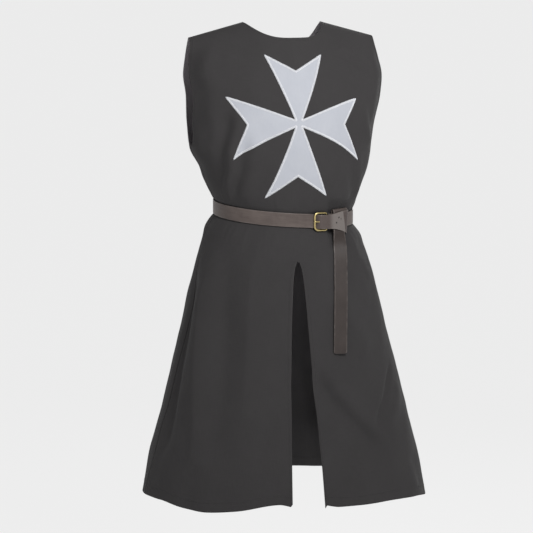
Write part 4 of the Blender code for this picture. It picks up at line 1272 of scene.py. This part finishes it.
def tailStations():
    half = belt["width"] / 2
    frontOut = belt["gap"] * 2 + belt["thick"] * 1.5
    behind = -belt["gap"] - belt["thick"] / 2
    radius = (frontOut - behind) / 2
    crest = half + tail["crest"]
    path = [(behind, -0.002), (behind, crest * 0.5), (behind, crest)]
    for k in range(1, 12):
        turn = math.pi * k / 12
        path.append((behind + radius * (1 - math.cos(turn)), crest + radius * math.sin(turn)))
    path += [(frontOut, up) for up in (crest, crest / 2, 0.0, -half / 2, -half)]
    left = tail["centre"] - half
    right = tail["centre"] + half
    stations = []
    for out, up in path:
        flare = tail["flare"] * float(softStep(0.0, half, up))
        stations.append([onBelt(left - flare * tail["flareBack"], out, up),
                         onBelt(right + flare, out, up + flare * tail["flareUp"])])
    top = (stations[-1][0].z + stations[-1][1].z) / 2
    startY = (stations[-1][0].y + stations[-1][1].y) / 2
    heights = np.linspace(top - 0.004, tail["end"] + formLift, tail["rows"])
    needs, places = [], []
    for z in heights:
        t = (top - z) / (top - tail["end"] - formLift)
        x = left + tail["lean"] * t
        spots = [frontAt(x + belt["width"] * k / 6, z)[0] for k in range(7)]
        slope = (spots[-1].y - spots[0].y) / belt["width"] * tail["follow"]
        # the straight line across the strap that clears the cloth
        lack = min(s.y - (spots[0].y + slope * belt["width"] * k / 6) for k, s in enumerate(spots))
        y = spots[0].y + lack - belt["thick"] / 2 - tail["clear"]
        needs.append(y + slope * belt["width"] / 2)
        places.append((x, slope))
    slopes = evened([s for x, s in places])
    bowSlope = (stations[-1][1].y - stations[-1][0].y) / belt["width"]
    blend = softStep(0.0, tail["blend"], np.linspace(0, 1, len(heights)))
    slopes = bowSlope * (1 - blend) + slopes * blend
    # a stiff strap bridges the hollows: lower hull of the nearest places it can take
    keep = [(top, startY)]
    for z, y in zip(heights, needs):
        while len(keep) > 1:
            (z1, y1), (z2, y2) = keep[-2], keep[-1]
            if (y2 - y1) * (z1 - z) <= (y - y1) * (z1 - z2):
                break
            keep.pop()
        keep.append((z, y))
    ys = np.interp(-heights, [-z for z, y in keep], [y for z, y in keep])
    ys = evened(np.minimum(ys, needs))
    for z, y, slope, (x, _) in zip(heights, ys, slopes, places):
        stations.append([Vector((x, y - slope * belt["width"] / 2, z)),
                         Vector((x + belt["width"], y + slope * belt["width"] / 2, z))])
    return stations


def buildTail():
    pairs = tailStations()
    middles = [(a + b) / 2 for a, b in pairs]
    whole = []
    for i, (a, b) in enumerate(pairs):
        ahead = middles[min(i + 1, len(pairs) - 1)] - middles[max(i - 1, 0)]
        across = (b - a).normalized()
        out = across.cross(ahead).normalized()
        whole.append((middles[i], across, out, (b - a).length / belt["width"]))
    whole = sameSide(whole)
    # the end narrows over its last millimetres so that its corners are round
    middle, across, out, stretch = whole[-1]
    down = (middles[-1] - middles[-2]).normalized()
    radius = tail["endRound"]
    for a in bendTurns(5)[1:]:
        whole.append((middle + down * radius * math.sin(a) * 0.5, across, out,
                      1 - (radius / (belt["width"] / 2)) * (1 - math.cos(a))))
    profile = strapProfile()
    if whole[-1][2].y > 0:
        profile = [(up, -away) for up, away in reversed(profile)]
    print(f"tail: {lengthOf(whole):.3f} m")
    zones = [(0.068, 0.052, 0.0, leatherLook["loopLight"], 0.85)]      # painted light on the tail where it goes over the belt's top, lifting its shade to about the strap's tone
    paint = leatherPaint("tailLeather", leatherLook["tail"], [], zones)
    return strapMesh("beltTail", whole, paint, profile)


tailPiece = buildTail()
finishPiece(tailPiece, ["belt_tail"])
print("tail made")


# buckle

buckle = {
    "left": 0.0368, "right": 0.0700, "height": 0.0424, "bar": 0.0046, "corner": 0.0080, "drop": -0.0014,
    "pivot": 0.0034, "pivotCorner": 0.0035, "prong": 0.0024, "prongTall": 1.15, "flatness": 0.80,
    "leftRise": 0.0024, "pivotRise": 0.0016,      # of the bars above the leather and the cloth
    "wrapStart": -35.0, "wrapSweep": 130.0, "wrapPoints": 10,      # the prong's ring, in degrees
    "tones": ((0.46, 0.36, 0.155, 1.0), (0.66, 0.55, 0.27, 1.0)),      # deep and light
}


def brassPaint(name):
    paint = Paint(name, {"Metallic": 1.0})
    where = paint.node("ShaderNodeTexCoord", output="Object")
    cloud = paint.noise(where, 180.0, 4.0, 0.6)
    spots = paint.noise(where, 900.0, 2.0)
    tone = paint.ramp(cloud * 0.7 + spots * 0.3, ((0.35, 0.0), (0.65, 1.0)))
    paint.feed("Base Color", paint.mixed(tone, *buckle["tones"]))
    paint.feed("Roughness", 0.24 + cloud * 0.22)
    scratch = paint.noise(paint.scaled(where, (300.0, 300.0, 4000.0)), 1.0, 2.0)
    paint.feed("Normal", paint.bumped(cloud * 0.00012 + scratch * 0.00003, 1.0, 0.6))
    return paint


def rodMesh(name, path, sides, paint, closed):
    # rod through (middle, first direction times radius, second direction times radius)
    turns = [2 * math.pi * s / sides for s in range(sides)]
    points = [middle + first * math.cos(a) + second * math.sin(a)
              for middle, first, second in path for a in turns]
    return meshOf(name, points, tubeFaces(len(path), sides, closed=closed), paint)


def frameOut(x):
    t = (x - buckle["left"]) / (buckle["right"] - buckle["left"])
    leftOut = belt["gap"] * 2 + belt["thick"] + buckle["leftRise"]
    pivotOut = belt["gap"] + buckle["pivot"] / 2 + buckle["pivotRise"]
    return leftOut + (pivotOut - leftOut) * float(softStep(0.0, 1.0, t))


def buildFrame(paint):
    half = buckle["height"] / 2 - buckle["bar"] / 2
    left = buckle["left"] + buckle["bar"] / 2
    right = buckle["right"] - buckle["pivot"] / 2
    wide, small = buckle["corner"], buckle["pivotCorner"]
    inner, run = left + wide, right - small - left - wide
    head = [(inner - wide * math.sin(a), half - wide * (1 - math.cos(a))) for a in bendTurns(12)]
    foot = [(inner + run * k / 10, -half) for k in range(1, 10)]
    foot += [(right - small * (1 - math.sin(a)), small * (1 - math.cos(a)) - half) for a in bendTurns(6)]
    ring = head + [(left, (half - wide) * (1 - k / 6)) for k in range(1, 12)]
    ring += [(x, -up) for x, up in reversed(head)] + foot
    ring += [(right, (small - half) * (1 - k / 6)) for k in range(1, 12)]
    ring += [(x, -up) for x, up in reversed(foot)]
    path = []
    for k, (x, up) in enumerate(ring):
        before, after = ring[k - 1], ring[(k + 1) % len(ring)]
        middle = onBelt(x, frameOut(x), up + buckle["drop"])
        ahead = onBelt(after[0], frameOut(after[0]), after[1] + buckle["drop"])
        behind = onBelt(before[0], frameOut(before[0]), before[1] + buckle["drop"])
        along = (ahead - behind).normalized()
        out = (onBelt(x, 0.001, up) - onBelt(x, 0.0, up)).normalized()
        flat = along.cross(out).normalized()
        thin = buckle["pivot"] / buckle["bar"]
        onPivot = softStep(right - 0.0025, right - 0.0002, x)
        onPivot = float(onPivot * softStep(half - 0.001, half - 0.005, abs(up)))
        deep = buckle["flatness"] + (thin - buckle["flatness"]) * onPivot
        radius = buckle["bar"] / 2
        path.append((middle, flat * radius * (1 - (1 - thin) * onPivot), out * radius * deep))
    return rodMesh("buckleFrame", path[::-1], 18, paint, True)


def buildProng(paint):
    pivotX = buckle["right"] - buckle["pivot"] / 2
    pivotOut = frameOut(pivotX)
    ring = buckle["pivot"] / 2 + belt["gap"] + buckle["prong"] / 2
    spots = []
    for k in range(buckle["wrapPoints"]):
        a = math.radians(buckle["wrapStart"] + buckle["wrapSweep"] * k / (buckle["wrapPoints"] - 1))
        spots.append((pivotX + ring * math.cos(a), pivotOut + ring * math.sin(a)))
    foot = spots[-1]
    barTop = frameOut(buckle["left"] + buckle["bar"] / 2) + buckle["bar"] / 2 * buckle["flatness"]
    tipOut = barTop + belt["gap"] + buckle["prong"] / 2
    end = (buckle["left"] + buckle["bar"] / 2 - 0.0006, tipOut)
    bend = (buckle["left"] + buckle["bar"] + 0.0060, tipOut - 0.0002)
    for k in range(1, 9):
        t = k / 9
        spots.append((foot[0] + (bend[0] - foot[0]) * t, foot[1] + (bend[1] - foot[1]) * t))
    spots += [bend, (buckle["left"] + buckle["bar"], tipOut), end]
    for k, a in enumerate(bendTurns(4)[1:], 1):
        spots.append((end[0] - 0.0010 * math.sin(a), end[1] - 0.0002 * k))
    path, count = [], len(spots)
    for k, (x, outBy) in enumerate(spots):
        before, after = spots[max(k - 1, 0)], spots[min(k + 1, count - 1)]
        middle = onBelt(x, outBy, buckle["drop"])
        along = (onBelt(after[0], after[1], 0.0) - onBelt(before[0], before[1], 0.0)).normalized()
        up = Vector((0, 0, 1))
        left = count - 1 - k
        size = 1.0 if left >= 4 else math.sqrt(max(0.02, 1 - ((4 - left) / 4) ** 2))
        path.append((middle, up * buckle["prong"] / 2 * buckle["prongTall"] * size,
                     along.cross(up).normalized() * buckle["prong"] / 2 * size))
    return rodMesh("buckleProng", path, 14, paint, False)


framePiece = finishPiece(buildFrame(brassPaint("frameBrass")), ["buckle_frame"])
prongPiece = finishPiece(buildProng(brassPaint("prongBrass")), ["buckle_prong"])
print("buckle made")


# stage, light and camera

studio = {
    "floorHeight": -1.50, "floorHalf": 130.0, "floorTone": (0.10, 0.10, 0.10, 1.0), "floorGlow": 0.797,
    "skyLeft": (0.32, 0.32, 0.325, 1.0), "skyRight": (0.405, 0.405, 0.400, 1.0),
    "keyPlace": (0.16, -1.63, 0.72), "keyAim": (0.0, 0.0, -0.30), "keySize": 0.8, "keyWatts": 29.6,
    "backPlace": (1.30, 1.75, 0.75), "backSize": 0.7, "backWatts": 20.0,
    "cameraPlace": (-1.6555, -5.3010, 0.1725), "cameraYaw": -17.0, "cameraDip": 7.4, "lens": 168.1,
}


def buildStage():
    half, height = studio["floorHalf"], studio["floorHeight"]
    mesh = bpy.data.meshes.new("studioFloor")
    corners = ((-1, -1), (1, -1), (1, 1), (-1, 1))
    mesh.from_pydata([(half * x, half * y, height) for x, y in corners], [], [(0, 1, 2, 3)])
    floor = bpy.data.objects.new("studioFloor", mesh)
    bpy.context.collection.objects.link(floor)
    paint = Paint("floorTone", {"Roughness": 0.95, "Specular IOR Level": 0.0,
                                "Base Color": studio["floorTone"], "Emission Color": (1.0, 1.0, 1.0, 1.0),
                                "Emission Strength": studio["floorGlow"]})
    mesh.materials.append(paint.material)
    sky = Paint("studioSky", {}, bpy.data.worlds, "Background")      # dimmer on the wearer's right
    way = sky.part(sky.node("ShaderNodeTexCoord", output="Generated"), "X")
    share = sky.node("ShaderNodeMapRange", None, {0: way, 1: -0.9, 2: 0.8})
    sky.feed("Color", sky.mixed(share, studio["skyLeft"], studio["skyRight"]))
    bpy.context.scene.world = sky.material
    for name in ("key", "back"):
        lamp = bpy.data.lights.new(name + "Softbox", "AREA")
        lamp.energy = studio[name + "Watts"]
        lamp.size = studio[name + "Size"]
        box = bpy.data.objects.new(name + "Softbox", lamp)
        place = Vector(studio[name + "Place"])
        box.location = place
        box.rotation_mode = "QUATERNION"
        box.rotation_quaternion = (place - Vector(studio["keyAim"])).to_track_quat("Z", "Y")
        bpy.context.collection.objects.link(box)


def buildCamera():
    lens = bpy.data.cameras.new("studioCamera")
    lens.lens = studio["lens"]
    lens.sensor_width = 36.0
    lens.clip_end = 400.0
    camera = bpy.data.objects.new("studioCamera", lens)
    yaw, dip = math.radians(studio["cameraYaw"]), math.radians(studio["cameraDip"])
    behind = Vector((math.sin(yaw) * math.cos(dip), -math.cos(yaw) * math.cos(dip), math.sin(dip)))
    camera.location = studio["cameraPlace"]
    camera.rotation_mode = "QUATERNION"
    camera.rotation_quaternion = behind.to_track_quat("Z", "Y")
    bpy.context.collection.objects.link(camera)
    bpy.context.scene.camera = camera


buildStage()
buildCamera()
bpy.context.scene.view_settings.view_transform = "Standard"
print("stage, light and camera made")
